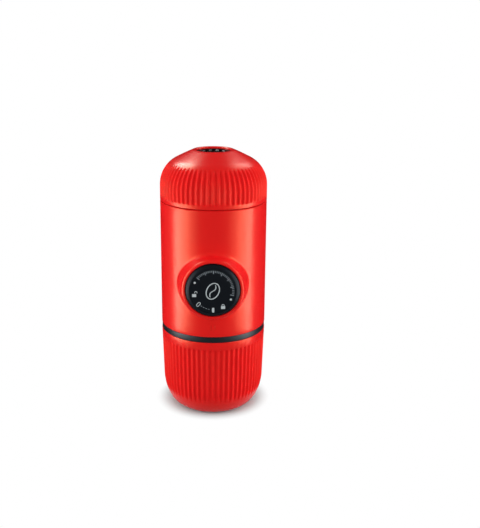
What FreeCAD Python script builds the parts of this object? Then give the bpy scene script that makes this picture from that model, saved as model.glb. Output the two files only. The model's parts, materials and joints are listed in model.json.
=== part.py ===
"""Handheld manual espresso maker, as separate pieces, in millimetres.

+Z is up and the origin is the centre of the cup's foot, on the main axis.
From the top down: water tank, main body, portafilter with its band, drinking cup.
The pump lies across the body at PUMP_HEIGHT and its button faces -Y.
Pump pieces are drawn as radius and reach, where reach is the distance from the main axis
towards the front, and are then laid along the pump's axis.
"""
import FreeCAD
import Part
import math
import os

# ---- Overall sizes ----
BODY_RADIUS = 31.0
BODY_HEIGHT = 74.2
TANK_HEIGHT = 29.0
CUP_HEIGHT = 49.2
BAND_HEIGHT = 3.6
EDGE_BREAK = 0.4

# ---- Clearances ----
FIXED_GAP = 0.15
MOVING_GAP = 0.3
GUIDE_GAP = 0.1
SEAL_GAP = 0.05

# ---- Drinking cup ----
CUP_DRAFT = 1.7
CUP_FOOT_RADIUS = 18.2
CUP_CORNER_HEIGHT = 20.0
CUP_WALL = 2.3
CUP_FLOOR = 2.6

# ---- Grip flutes of the tank and the cup ----
FLUTE_COUNT = 60
FLUTE_WIDTH = 2.6
FLUTE_FLOOR_WIDTH = 1.0
FLUTE_DEPTH = 0.55
FLUTE_FADE = 2.0
FLUTE_OVERRUN = 1.2
TANK_FLUTE_RISE = 2.6
TANK_FLUTE_TURN = 32.0
TANK_FLUTE_STEPS = 2
CUP_FLUTE_DROP = 4.5
CUP_FLUTE_TURN = 11.5

# ---- Water tank ----
TANK_WALL = 2.4
SHOULDER_START = 9.0
SHOULDER_RADIUS = 17.1
SHOULDER_ANGLE = 62.3
RIM_LIP = 1.2
VENT_WELL_RADIUS = 10.2
VENT_WELL_DEPTH = 3.4
VENT_WELL_WALL = 2.4
VENT_WELL_FLOOR = 1.8
VENT_HOLE_RADIUS = 2.4
VENT_CAP_SINK = 1.0
VENT_CAP_DISH = 0.7
VENT_CAP_RIM = 2.6
VENT_LOBES = 6

# ---- Tank thread and floor ----
SPIGOT_INSET = 1.8
SPIGOT_WALL = 2.4
SPIGOT_HEIGHT = 9.0
THREAD_ROOM = 0.5
TANK_SEAT_DEPTH = 3.0
LEDGE_THICKNESS = 2.0
TANK_SEAL_THICKNESS = 2.0
TANK_FLOOR = 2.5
TANK_BOSS_HEIGHT = 2.8

# ---- Main body shell ----
BODY_WALL = 2.4
BOSS_STAND = 6.0
BOSS_FLARE = 3.0
BOSS_LIP = 1.4
BOSS_BEVEL = 0.4
BOSS_FILLET = 2.2
WELL_DEPTH = 24.0
WELL_WALL = 1.9
MARK_WIDTH = 0.5
MARK_SPACING = 1.4
MARK_LENGTH = 3.6
MARK_DEPTH = 0.3
MARK_RISE = 3.7

# ---- Pump ----
PUMP_RISE = 30.3
STROKE = 15.0
PISTON_BORE = 10.5
CYLINDER_WALL = 1.2
CYLINDER_END = 1.6
CHAMBER_REACH = -14.0
CHAMBER_ROOM = 5.0
PORT_RADIUS = 1.6
PORT_INSET = 2.5
BULKHEAD_THICKNESS = 2.2

# ---- Plunger ----
PLUNGER_WALL = 1.9
PLUNGER_FRONT = 2.0
HEAD_LENGTH = 6.0
HEAD_PLAY = 0.4
SEAL_LENGTH = 3.0
SEAL_DEPTH = 1.5
NECK_RADIUS = 3.2
NECK_LENGTH = 4.2
CLIP_THICKNESS = 0.7
CLIP_GRIP = 0.6
CLIP_WIDTH = 2.8

# ---- Return spring ----
SPRING_PLAY = 0.75
SPRING_WIRE = 1.1
SPRING_TURNS = 7
SPRING_SIDES = 6

# ---- Button ----
BUTTON_STAND = 1.0
BUTTON_WALL = 1.5
BUTTON_PLATE = 2.0
BUTTON_BEVEL_WIDTH = 2.0
BUTTON_BEVEL_DEPTH = 0.9
FACE_THICKNESS = 1.0
FACE_EDGE = 0.25
SKIRT_ROOM = 0.5
HUB_INSET = 0.5
HUB_LENGTH = 4.0
HUB_WALL = 1.6
HUB_WEB = 2.8
BUTTON_TURN = 45.0
LUG_COUNT = 2
LUG_WIDTH = 16.0
LUG_LENGTH = 2.5
LUG_HEIGHT = 0.8
LUG_ROOT = 0.5
TRACK_PLAY = 1.5
SLEEVE_WALL = 1.6
SLEEVE_FLANGE = 1.5
SLEEVE_SHORT = 0.5
BUSH_WALL = 1.85
BUSH_LENGTH = 6.0
BUSH_FLANGE = 1.5

# ---- Water ducts and valves ----
DUCT_RADIUS = 3.5
DUCT_BORE = 2.3
VALVE_FLANGE = 1.0
VALVE_BODY_PLAY = 0.2
VALVE_TIP = 0.8
VALVE_SLIT = 0.2
INLET_BILL = 5.0
OUTLET_BILL = 3.0
VENT_BILL = 4.0
STRAINER_RADIUS = 4.2
STRAINER_THICKNESS = 0.6

# ---- Chassis ----
BARREL_WALL = 2.3
BARREL_BACK = 1.9
CHASSIS_RING = 2.0
CHASSIS_RING_WIDTH = 12.0
POST_RADIUS = 3.0
POST_INSET = 7.15
POST_ANGLES = (-16.0, 45.0)
BULKHEAD_MARGIN = 0.5

# ---- Screws ----
SCREW_RADIUS = 1.1
SCREW_HEAD_RADIUS = 2.3
SCREW_HEAD = 1.5
SCREW_BITE = 2.0
SHOWER_SCREW_BITE = 2.4
SHOWER_SCREW_HEAD_RADIUS = 2.8
SHOWER_SCREW_HEAD = 0.7

# ---- Brew head ----
HEAD_RING_WALL = 3.55
HEAD_INSET = 0.6
HEAD_CEILING_GAP = 0.3
CAVITY_HEIGHT = 1.2
HEAD_PLATE = 2.4
CENTRE_POST_RADIUS = 3.2
SCREEN_INSET = 1.1
SCREEN_LEDGE = 1.4
SCREEN_THICKNESS = 0.8
SCREEN_SINK = 0.3
GASKET_WIDTH = 2.3
GASKET_GRIP = 2.6

# ---- Portafilter, basket and scoop ----
BAND_INSET = 0.2
COLLAR_WALL = 1.6
COLLAR_HEIGHT = 7.2
RIM_SEAT_DEPTH = 1.2
BASKET_TAPER = 0.5
BASKET_DEPTH = 12.4
BASKET_WALL = 0.6
BASKET_RIM_WIDTH = 1.8
PLUG_PLAY = 0.8
PLUG_HEIGHT = 8.2
PLUG_BEVEL = 1.4
CUP_SEAL_HEIGHT = 2.4
CUP_SEAL_DEPTH = 1.2
CUP_SEAL_PLACE = 2.8
FUNNEL_DROP = 4.1
FUNNEL_WALL = 3.4
OUTLET_RADIUS = 2.2
NECK_TOP_RADIUS = 9.0
NECK_TOP_DROP = 12.2
NECK_LENGTH_BELOW = 9.0
NECK_STEP = 2.0
SPOUT_PIN_RADIUS = 5.6
SPOUT_PIN_LENGTH = 6.0
SPOUT_LENGTH = 16.0
SPOUT_STRAIGHT = 5.0
SPOUT_TIP_RADIUS = 3.2
SPOUT_BORE = 1.6
SCOOP_GAP = 0.5
SCOOP_WALL = 1.0
SCOOP_HEIGHT = 9.6
SCOOP_FOOT_ROUND = 1.2
SCOOP_TAB_WIDTH = 9.0
SCOOP_TAB_REACH = 4.5
SCOOP_TAB_THICKNESS = 1.2

# ---- Perforations ----
HOLE_ACROSS = 1.4
HOLE_PITCH = 4.8
HOLE_RINGS = 3
STRAINER_PITCH = 2.4
STRAINER_RINGS = 1
HOLE_SIDES = 6

# ---- Heights worked out from the sizes ----
BODY_BOTTOM = CUP_HEIGHT + BAND_HEIGHT
SEAM_HEIGHT = BODY_BOTTOM + BODY_HEIGHT
TOTAL_HEIGHT = SEAM_HEIGHT + TANK_HEIGHT
PUMP_HEIGHT = BODY_BOTTOM + PUMP_RISE
LEDGE_TOP = SEAM_HEIGHT - TANK_SEAT_DEPTH
LEDGE_BOTTOM = LEDGE_TOP - LEDGE_THICKNESS
FLOOR_BOTTOM = LEDGE_BOTTOM - TANK_FLOOR
COLLAR_TOP = BODY_BOTTOM + COLLAR_HEIGHT
HEAD_CEILING = COLLAR_TOP + HEAD_CEILING_GAP
SCREEN_BOTTOM = HEAD_CEILING + SCREEN_SINK
SCREEN_TOP = SCREEN_BOTTOM + SCREEN_THICKNESS
CAVITY_TOP = SCREEN_TOP + CAVITY_HEIGHT
HEAD_TOP = CAVITY_TOP + HEAD_PLATE
BASKET_SEAT = COLLAR_TOP - RIM_SEAT_DEPTH
BASKET_RIM_TOP = BASKET_SEAT + BASKET_WALL
BASKET_BOTTOM = BASKET_SEAT - BASKET_DEPTH
PLUG_BOTTOM = CUP_HEIGHT - PLUG_HEIGHT
NECK_TOP = CUP_HEIGHT - NECK_TOP_DROP
SPOUT_SEAT = NECK_TOP - NECK_LENGTH_BELOW

# ---- Radii worked out, from the outside in ----
BODY_BORE = BODY_RADIUS - BODY_WALL
CORE_RADIUS = BODY_BORE - FIXED_GAP
BAND_RADIUS = BODY_RADIUS - BAND_INSET
SPIGOT_RADIUS = BODY_BORE - SPIGOT_INSET
POST_CIRCLE = CORE_RADIUS - POST_INSET
COLLAR_RADIUS = CORE_RADIUS - HEAD_RING_WALL - MOVING_GAP
BASKET_RADIUS = COLLAR_RADIUS - COLLAR_WALL - 2 * FIXED_GAP - BASKET_RIM_WIDTH
BASKET_FOOT_RADIUS = BASKET_RADIUS - BASKET_TAPER
SCREEN_RADIUS = BASKET_RADIUS - SCREEN_INSET
CAVITY_RADIUS = SCREEN_RADIUS - SCREEN_LEDGE
PLUG_RADIUS = BODY_RADIUS - CUP_WALL - PLUG_PLAY
SPOUT_RADIUS = SPOUT_PIN_RADIUS + NECK_STEP

# ---- Pump radii worked out, from the bore outwards ----
PLUNGER_RADIUS = PISTON_BORE - SEAL_GAP - BUSH_WALL - GUIDE_GAP
SPRING_RADIUS = PLUNGER_RADIUS - PLUNGER_WALL - SPRING_PLAY - SPRING_WIRE / 2
HUB_RADIUS = PLUNGER_RADIUS - HUB_INSET
CYLINDER_RADIUS = PISTON_BORE + CYLINDER_WALL
SLEEVE_BORE = CYLINDER_RADIUS + GUIDE_GAP
SLEEVE_RADIUS = SLEEVE_BORE + SLEEVE_WALL
SKIRT_BORE = SLEEVE_RADIUS + MOVING_GAP
TRACK_FLOOR = SKIRT_BORE - LUG_HEIGHT - MOVING_GAP
BUTTON_RADIUS = SKIRT_BORE + BUTTON_WALL
WELL_RADIUS = BUTTON_RADIUS + MOVING_GAP
BOSS_RIM_RADIUS = WELL_RADIUS + BOSS_BEVEL + BOSS_LIP
BOSS_BASE_RADIUS = BOSS_RIM_RADIUS + BOSS_FLARE

# ---- Pump reaches worked out, from the front back ----
BOSS_REACH = BODY_RADIUS + BOSS_STAND
BOSS_BASE_REACH = math.sqrt(BODY_RADIUS ** 2 - BOSS_BASE_RADIUS ** 2)
BULKHEAD_REACH = BOSS_REACH - WELL_DEPTH
SKIRT_REACH = BULKHEAD_REACH + SLEEVE_FLANGE + SKIRT_ROOM
BUTTON_REACH = BOSS_REACH + BUTTON_STAND
FACE_SEAT = BUTTON_REACH - FACE_THICKNESS
PLATE_BACK = FACE_SEAT - BUTTON_PLATE
SLEEVE_FRONT = PLATE_BACK - SLEEVE_SHORT
CYLINDER_MOUTH = SLEEVE_FRONT - BUSH_FLANGE
PLUNGER_TIP = PLATE_BACK - HUB_LENGTH
WEB_FRONT = PLUNGER_TIP + HUB_WEB
CLIP_BACK = WEB_FRONT + GUIDE_GAP
HEAD_BACK = CHAMBER_REACH + CHAMBER_ROOM
HEAD_FRONT = HEAD_BACK + HEAD_LENGTH
DUCT_PLACE = -CHAMBER_REACH - PORT_INSET

ORIGIN = FreeCAD.Vector(0, 0, 0)
UP = FreeCAD.Vector(0, 0, 1)


class Outline:
    """A closed half-section, drawn as radius and height, to be turned about the height axis."""

    def __init__(self, radius, height):
        self.edges = []
        self.first = FreeCAD.Vector(radius, 0, height)
        self.last = self.first

    def line(self, radius, height):
        """Draw a straight edge to the given point."""
        target = FreeCAD.Vector(radius, 0, height)
        self.edges.append(Part.LineSegment(self.last, target).toShape())
        self.last = target
        return self

    def arc_about(self, centre_radius, centre_height, radius, height):
        """Draw the shorter arc about a centre to the given point."""
        centre = FreeCAD.Vector(centre_radius, 0, centre_height)
        target = FreeCAD.Vector(radius, 0, height)
        between = (self.last - centre) + (target - centre)
        middle = centre + between.normalize() * (self.last - centre).Length
        self.edges.append(Part.Arc(self.last, middle, target).toShape())
        self.last = target
        return self

    def tangent_arc(self, radius, height):
        """Draw an arc to the given point that leaves the last edge smoothly."""
        edge = self.edges[-1]
        along = edge.tangentAt(edge.LastParameter)
        target = FreeCAD.Vector(radius, 0, height)
        chord = target - self.last
        normal = FreeCAD.Vector(-along.z, 0, along.x)
        reach = chord.Length ** 2 / (2 * chord.dot(normal))
        centre = self.last + normal * reach
        between = (self.last - centre) + (target - centre)
        middle = centre + between.normalize() * abs(reach)
        self.edges.append(Part.Arc(self.last, middle, target).toShape())
        self.last = target
        return self

    def quarter_ellipse(self, radius, height, centre_radius, centre_height):
        """Draw a quarter of an ellipse whose axes lie along radius and height."""
        centre = FreeCAD.Vector(centre_radius, 0, centre_height)
        target = FreeCAD.Vector(radius, 0, height)
        ends = sorted((self.last, target), key=lambda end: (end - centre).Length, reverse=True)
        ellipse = Part.Ellipse(ends[0], ends[1], centre)
        span = sorted((ellipse.parameter(self.last), ellipse.parameter(target)))
        if span[1] - span[0] > math.pi:
            span = (span[1], span[0] + 2 * math.pi)
        self.edges.append(ellipse.toShape(*span))
        self.last = target
        return self

    def turned(self):
        """Close the outline and turn it a full round about the height axis."""
        if self.last.distanceToPoint(self.first) > 1e-7:
            self.edges.append(Part.LineSegment(self.last, self.first).toShape())
        wire = Part.Wire(Part.__sortEdges__(self.edges))
        return Part.Face(wire).revolve(ORIGIN, UP, 360)


def along_pump(shape):
    """Lay a shape drawn about +Z along the pump's axis, with its +Z towards the front."""
    laid = shape.copy()
    laid.rotate(ORIGIN, FreeCAD.Vector(1, 0, 0), 90)
    laid.translate(FreeCAD.Vector(0, 0, PUMP_HEIGHT))
    return laid


def disc(radius, bottom, top, x=0.0, y=0.0):
    """A round bar from one height to another."""
    return Part.makeCylinder(radius, top - bottom, FreeCAD.Vector(x, y, bottom))


def ring(inner, outer, bottom, top, x=0.0, y=0.0):
    """A plain ring with square edges."""
    return disc(outer, bottom, top, x, y).cut(disc(inner, bottom, top, x, y))


def sector(inner, outer, bottom, top, start, sweep):
    """A ring's share between two angles, in degrees."""
    wide = Part.makeCylinder(outer, top - bottom, FreeCAD.Vector(0, 0, bottom), UP, sweep)
    narrow = Part.makeCylinder(inner, top - bottom, FreeCAD.Vector(0, 0, bottom), UP, sweep)
    share = wide.cut(narrow)
    share.rotate(ORIGIN, UP, start)
    return share


def hexagon_bar(across, bottom, top, x, y):
    """A six-sided bar, for one perforation."""
    corners = []
    for side in range(HOLE_SIDES + 1):
        angle = math.radians(360 / HOLE_SIDES * side)
        reach = across / 2 / math.cos(math.pi / HOLE_SIDES)
        place = FreeCAD.Vector(x + reach * math.cos(angle), y + reach * math.sin(angle), bottom)
        corners.append(place)
    return Part.Face(Part.makePolygon(corners)).extrude(FreeCAD.Vector(0, 0, top - bottom))


def perforations(rings, pitch, bottom, top, x=0.0, y=0.0):
    """Rings of six-sided bars round a point, with none at the point itself."""
    bars = []
    for row in range(1, rings + 1):
        count = 6 * row
        for place in range(count):
            angle = 2 * math.pi * place / count
            across = x + row * pitch * math.cos(angle)
            along = y + row * pitch * math.sin(angle)
            bars.append(hexagon_bar(HOLE_ACROSS, bottom, top, across, along))
    return Part.makeCompound(bars)


def post_places():
    """The four posts' places, mirrored left and right."""
    places = []
    for angle in POST_ANGLES:
        x = POST_CIRCLE * math.cos(math.radians(angle))
        y = POST_CIRCLE * math.sin(math.radians(angle))
        places.extend([(-x, y), (x, y)])
    return places


# ---- Grip flutes ----
def flute_sections(path):
    """Trapezoid sections across a flute, one at each point of its floor's path.

    The path runs in the plane of radius and height, with the outside of the wall on its
    right-hand side as it climbs.
    """
    spread = (FLUTE_WIDTH - FLUTE_FLOOR_WIDTH) / 2 / FLUTE_DEPTH * FLUTE_OVERRUN
    runs = [(end - start).normalize() for start, end in zip(path, path[1:])]
    sections = []
    for place, point in enumerate(path):
        before = runs[max(place - 1, 0)]
        after = runs[min(place, len(runs) - 1)]
        along = (before + after).normalize()
        outward = FreeCAD.Vector(along.z, 0, -along.x)
        square = FreeCAD.Vector(before.z, 0, -before.x)
        top = point + outward * (FLUTE_OVERRUN / outward.dot(square))
        floor_side = FreeCAD.Vector(0, FLUTE_FLOOR_WIDTH / 2, 0)
        top_side = FreeCAD.Vector(0, FLUTE_FLOOR_WIDTH / 2 + spread, 0)
        sections.append([point - floor_side, top - top_side, top + top_side, point + floor_side])
    return sections


def flute_cutter(path):
    """Solid between the flute's sections, made of flat faces."""
    sections = flute_sections(path)
    faces = []
    for near, far in zip(sections, sections[1:]):
        for corner in range(len(near)):
            after = (corner + 1) % len(near)
            quad = [near[corner], near[after], far[after], far[corner], near[corner]]
            faces.append(Part.Face(Part.makePolygon(quad)))
    for end in (sections[0], sections[-1]):
        faces.append(Part.Face(Part.makePolygon(end + [end[0]])))
    cutter = Part.makeSolid(Part.makeShell(faces))
    if cutter.Volume < 0:
        cutter.reverse()
    return cutter


def cut_flutes(shape, path):
    """Cut a full round of flutes into an upright wall."""
    cutter = flute_cutter(path)
    cutters = []
    for flute in range(FLUTE_COUNT):
        turned = cutter.copy()
        turned.rotate(ORIGIN, UP, 360 / FLUTE_COUNT * (flute + 0.5))
        cutters.append(turned)
    return shape.cut(cutters)


# ---- Drinking cup ----
def cup_outer_radius(height):
    """The cup's outer radius on its drafted wall."""
    return BODY_RADIUS - (CUP_HEIGHT - height) * math.tan(math.radians(CUP_DRAFT))


def make_cup():
    """Drinking cup with a drafted wall and a deep rounded corner."""
    corner_outer = cup_outer_radius(CUP_CORNER_HEIGHT)
    corner_inner = corner_outer - CUP_WALL
    top_inner = BODY_RADIUS - CUP_WALL
    outline = Outline(0, 0)
    outline.line(CUP_FOOT_RADIUS, 0)
    outline.quarter_ellipse(corner_outer, CUP_CORNER_HEIGHT, CUP_FOOT_RADIUS, CUP_CORNER_HEIGHT)
    outline.line(cup_outer_radius(CUP_HEIGHT - EDGE_BREAK), CUP_HEIGHT - EDGE_BREAK)
    outline.line(BODY_RADIUS - EDGE_BREAK, CUP_HEIGHT)
    outline.line(top_inner + EDGE_BREAK, CUP_HEIGHT)
    outline.line(top_inner, CUP_HEIGHT - EDGE_BREAK)
    outline.line(corner_inner, CUP_CORNER_HEIGHT)
    outline.quarter_ellipse(CUP_FOOT_RADIUS, CUP_FLOOR, CUP_FOOT_RADIUS, CUP_CORNER_HEIGHT)
    outline.line(0, CUP_FLOOR)
    return cut_flutes(outline.turned(), cup_flute_path())


def cup_flute_path():
    """Floor of one of the cup's flutes, from its run-out on the corner up to below the rim."""
    half_width = cup_outer_radius(CUP_CORNER_HEIGHT) - CUP_FOOT_RADIUS
    turn = math.radians(CUP_FLUTE_TURN)
    on_corner = FreeCAD.Vector(
        CUP_FOOT_RADIUS + half_width * math.cos(turn), 0, CUP_CORNER_HEIGHT * (1 - math.sin(turn)))
    along = FreeCAD.Vector(half_width * math.sin(turn), 0, CUP_CORNER_HEIGHT * math.cos(turn)).normalize()
    inward = FreeCAD.Vector(-along.z, 0, along.x)
    floor = on_corner + inward * FLUTE_DEPTH
    curve_radius = CUP_CORNER_HEIGHT ** 2 / half_width
    run_out = math.sqrt(2 * curve_radius * (FLUTE_DEPTH + FLUTE_OVERRUN / 2))
    top = CUP_HEIGHT - CUP_FLUTE_DROP
    return [
        floor - along * run_out,
        floor,
        FreeCAD.Vector(cup_outer_radius(CUP_CORNER_HEIGHT) - FLUTE_DEPTH, 0, CUP_CORNER_HEIGHT),
        FreeCAD.Vector(cup_outer_radius(top - FLUTE_FADE) - FLUTE_DEPTH, 0, top - FLUTE_FADE),
        FreeCAD.Vector(cup_outer_radius(top) + SEAL_GAP, 0, top),
    ]


# ---- Water tank ----
def tank_flute_path():
    """Floor of one of the tank's flutes, from above the seam up to its run-out on the shoulder."""
    low = SEAM_HEIGHT + TANK_FLUTE_RISE
    shoulder_z = SEAM_HEIGHT + SHOULDER_START
    centre_r = BODY_RADIUS - SHOULDER_RADIUS
    floor_radius = SHOULDER_RADIUS - FLUTE_DEPTH
    path = [
        FreeCAD.Vector(BODY_RADIUS + SEAL_GAP, 0, low),
        FreeCAD.Vector(BODY_RADIUS - FLUTE_DEPTH, 0, low + FLUTE_FADE),
        FreeCAD.Vector(BODY_RADIUS - FLUTE_DEPTH, 0, shoulder_z),
    ]
    for step in range(1, TANK_FLUTE_STEPS + 1):
        turn = math.radians(TANK_FLUTE_TURN * step / TANK_FLUTE_STEPS)
        path.append(FreeCAD.Vector(
            centre_r + floor_radius * math.cos(turn), 0, shoulder_z + floor_radius * math.sin(turn)))
    run_out = math.sqrt((SHOULDER_RADIUS + FLUTE_OVERRUN / 2) ** 2 - floor_radius ** 2)
    along = FreeCAD.Vector(-math.sin(turn), 0, math.cos(turn))
    path.append(path[-1] + along * run_out)
    return path


def make_water_tank():
    """Domed tank, open at the bottom, with a sunk well for the vent cap in its top."""
    angle = math.radians(SHOULDER_ANGLE)
    shoulder_z = SEAM_HEIGHT + SHOULDER_START
    centre_r = BODY_RADIUS - SHOULDER_RADIUS
    inner_radius = SHOULDER_RADIUS - TANK_WALL
    thread_r = SPIGOT_RADIUS + THREAD_ROOM
    tongue_r = BODY_BORE - MOVING_GAP
    tongue_z = LEDGE_TOP + TANK_SEAL_THICKNESS + MOVING_GAP
    rim_r = VENT_WELL_RADIUS + RIM_LIP
    well_z = TOTAL_HEIGHT - VENT_WELL_DEPTH
    ceiling_z = well_z - VENT_WELL_FLOOR
    socket_r = VENT_WELL_RADIUS + VENT_WELL_WALL
    outline = Outline(tongue_r, SEAM_HEIGHT)
    outline.line(BODY_RADIUS - EDGE_BREAK, SEAM_HEIGHT)
    outline.line(BODY_RADIUS, SEAM_HEIGHT + EDGE_BREAK)
    outline.line(BODY_RADIUS, shoulder_z)
    outline.arc_about(
        centre_r, shoulder_z,
        centre_r + SHOULDER_RADIUS * math.cos(angle), shoulder_z + SHOULDER_RADIUS * math.sin(angle))
    outline.tangent_arc(rim_r, TOTAL_HEIGHT)
    outline.arc_about(rim_r, TOTAL_HEIGHT - RIM_LIP, VENT_WELL_RADIUS, TOTAL_HEIGHT - RIM_LIP)
    outline.line(VENT_WELL_RADIUS, well_z)
    outline.line(VENT_HOLE_RADIUS, well_z)
    outline.line(VENT_HOLE_RADIUS, ceiling_z)
    outline.line(socket_r, ceiling_z)
    outline.line(socket_r, well_z)
    outline.line(centre_r + inner_radius * math.cos(angle), shoulder_z + inner_radius * math.sin(angle))
    outline.arc_about(centre_r, shoulder_z, BODY_RADIUS - TANK_WALL, shoulder_z)
    outline.line(thread_r, shoulder_z - (BODY_RADIUS - TANK_WALL - thread_r))
    outline.line(thread_r, tongue_z)
    outline.line(tongue_r, tongue_z)
    return cut_flutes(outline.turned(), tank_flute_path())


def make_vent_cap():
    """Soft black disc that closes the tank's well: raised rim, dished face and lobes."""
    bottom = TOTAL_HEIGHT - VENT_WELL_DEPTH
    top = TOTAL_HEIGHT - VENT_CAP_SINK
    face = top - VENT_CAP_DISH
    outer = VENT_WELL_RADIUS - FIXED_GAP
    outline = Outline(VENT_HOLE_RADIUS / 2, bottom)
    outline.line(outer, bottom)
    outline.line(outer, top - VENT_CAP_DISH / 2)
    outline.line(outer - VENT_CAP_DISH / 2, top)
    outline.line(outer - VENT_CAP_RIM, top)
    outline.line(outer - VENT_CAP_RIM - VENT_CAP_DISH, face)
    outline.line(VENT_HOLE_RADIUS / 2, face)
    cap = outline.turned()
    lobes = []
    lobe_place = outer - VENT_CAP_RIM - VENT_CAP_DISH
    for lobe in range(VENT_LOBES):
        angle = 2 * math.pi * lobe / VENT_LOBES
        lobes.append(disc(
            VENT_CAP_RIM / 2, face - VENT_CAP_DISH, top,
            lobe_place * math.cos(angle), lobe_place * math.sin(angle)))
    return cap.fuse(lobes).removeSplitter()


# ---- Valves, ducts and strainer ----
def duckbill(flange_radius, bore, bill):
    """Duckbill valve hanging from its flange, whose top lies at height 0."""
    body = bore - VALVE_BODY_PLAY
    flange = disc(flange_radius, -VALVE_FLANGE, 0)
    wedge = Part.makePolygon([
        FreeCAD.Vector(-body, -body, -VALVE_FLANGE),
        FreeCAD.Vector(body, -body, -VALVE_FLANGE),
        FreeCAD.Vector(VALVE_TIP / 2, -body, -VALVE_FLANGE - bill),
        FreeCAD.Vector(-VALVE_TIP / 2, -body, -VALVE_FLANGE - bill),
        FreeCAD.Vector(-body, -body, -VALVE_FLANGE),
    ])
    prism = Part.Face(wedge).extrude(FreeCAD.Vector(0, 2 * body, 0))
    lips = prism.common(disc(body, -VALVE_FLANGE - bill, -VALVE_FLANGE))
    slit = Part.makeBox(
        VALVE_SLIT, body, bill / 2, FreeCAD.Vector(-VALVE_SLIT / 2, -body / 2, -VALVE_FLANGE - bill))
    return flange.fuse(lips).removeSplitter().cut(slit)


def make_vent_valve():
    """Duckbill under the tank's top, clipped into the vent hole."""
    valve = duckbill(VENT_HOLE_RADIUS + VALVE_FLANGE, VENT_HOLE_RADIUS, VENT_BILL)
    valve.translate(FreeCAD.Vector(0, 0, TOTAL_HEIGHT - VENT_WELL_DEPTH - VENT_WELL_FLOOR))
    return valve


def make_inlet_valve():
    """Duckbill between the tank floor and the inlet duct."""
    valve = duckbill(DUCT_RADIUS, DUCT_BORE, INLET_BILL)
    valve.translate(FreeCAD.Vector(0, DUCT_PLACE, FLOOR_BOTTOM))
    return valve


def make_outlet_valve():
    """Duckbill between the outlet duct and the brew head."""
    valve = duckbill(DUCT_RADIUS, DUCT_BORE, OUTLET_BILL)
    valve.translate(FreeCAD.Vector(0, DUCT_PLACE, HEAD_TOP + VALVE_FLANGE))
    return valve


def make_duct(bottom, top):
    """Upright tube whose pump end is saddled onto the cylinder."""
    tube = ring(DUCT_BORE, DUCT_RADIUS, bottom, top, 0, DUCT_PLACE)
    return tube.cut(along_pump(disc(CYLINDER_RADIUS + SEAL_GAP, -BODY_RADIUS, BODY_RADIUS)))


def make_inlet_duct():
    """Tube from the inlet valve down to the pump cylinder."""
    return make_duct(PUMP_HEIGHT + PISTON_BORE, FLOOR_BOTTOM - VALVE_FLANGE)


def make_outlet_duct():
    """Tube from the pump cylinder down to the outlet valve."""
    return make_duct(HEAD_TOP + VALVE_FLANGE, PUMP_HEIGHT - PISTON_BORE)


def make_inlet_strainer():
    """Fine steel screen let into the tank floor over the inlet."""
    top = LEDGE_BOTTOM
    plate = disc(STRAINER_RADIUS - FIXED_GAP, top - STRAINER_THICKNESS, top, 0, DUCT_PLACE)
    holes = perforations(STRAINER_RINGS, STRAINER_PITCH, top - STRAINER_THICKNESS, top, 0, DUCT_PLACE)
    return plate.cut(holes)


# ---- Main body ----
def make_body_shell():
    """Housing with the flared boss, the piston's well and two index marks."""
    outline = Outline(BODY_BORE, BODY_BOTTOM)
    outline.line(BODY_RADIUS - EDGE_BREAK, BODY_BOTTOM)
    outline.line(BODY_RADIUS, BODY_BOTTOM + EDGE_BREAK)
    outline.line(BODY_RADIUS, SEAM_HEIGHT - EDGE_BREAK)
    outline.line(BODY_RADIUS - EDGE_BREAK, SEAM_HEIGHT)
    outline.line(BODY_BORE, SEAM_HEIGHT)
    outline.line(BODY_BORE, LEDGE_TOP)
    outline.line(SPIGOT_RADIUS + FIXED_GAP, LEDGE_TOP)
    outline.line(SPIGOT_RADIUS + FIXED_GAP, LEDGE_BOTTOM)
    outline.line(BODY_BORE, LEDGE_BOTTOM)
    tube = outline.turned()
    boss_outline = Outline(WELL_RADIUS, BOSS_BASE_REACH - BODY_WALL)
    slope = (BOSS_BASE_RADIUS - BOSS_RIM_RADIUS) / (BOSS_REACH - BOSS_BASE_REACH)
    boss_outline.line(BOSS_BASE_RADIUS + BODY_WALL * slope, BOSS_BASE_REACH - BODY_WALL)
    boss_outline.line(BOSS_RIM_RADIUS, BOSS_REACH)
    boss_outline.line(WELL_RADIUS + BOSS_BEVEL, BOSS_REACH)
    boss_outline.line(WELL_RADIUS, BOSS_REACH - BOSS_BEVEL)
    boss = along_pump(boss_outline.turned()).cut(disc(BODY_BORE, BODY_BOTTOM, SEAM_HEIGHT))
    sleeve = along_pump(disc(WELL_RADIUS + WELL_WALL, BULKHEAD_REACH, BODY_RADIUS))
    well = along_pump(disc(WELL_RADIUS, BULKHEAD_REACH, BOSS_REACH))
    shell = tube.fuse([boss, sleeve.common(disc(BODY_RADIUS - BODY_WALL / 2, BODY_BOTTOM, SEAM_HEIGHT))])
    shell = shell.cut(well).removeSplitter()
    shell = fillet_boss(shell)
    return shell.cut(index_marks())


def fillet_boss(shell):
    """Blend the boss into the round body, and round its rim."""
    base = []
    rim = []
    for edge in shell.Edges:
        box = edge.BoundBox
        inside = -box.YMax > BOSS_BASE_REACH - 2 * BODY_WALL
        centred = abs((box.ZMax + box.ZMin) / 2 - PUMP_HEIGHT) < EDGE_BREAK
        if not (inside and centred):
            continue
        if box.XMax > BOSS_RIM_RADIUS + EDGE_BREAK and box.YLength > BODY_WALL:
            base.append(edge)
        elif abs(box.XMax - BOSS_RIM_RADIUS) < SEAL_GAP and box.YLength < SEAL_GAP:
            rim.append(edge)
    shell = shell.makeFillet(BOSS_FILLET, base)
    return shell.makeFillet(EDGE_BREAK, matching_edges(shell, rim))


def matching_edges(shape, wanted):
    """The edges of a shape that lie where the wanted ones did."""
    found = []
    for edge in shape.Edges:
        for old in wanted:
            near = edge.CenterOfMass.distanceToPoint(old.CenterOfMass) < SEAL_GAP
            if near and abs(edge.Length - old.Length) < SEAL_GAP:
                found.append(edge)
                break
    return found


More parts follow.
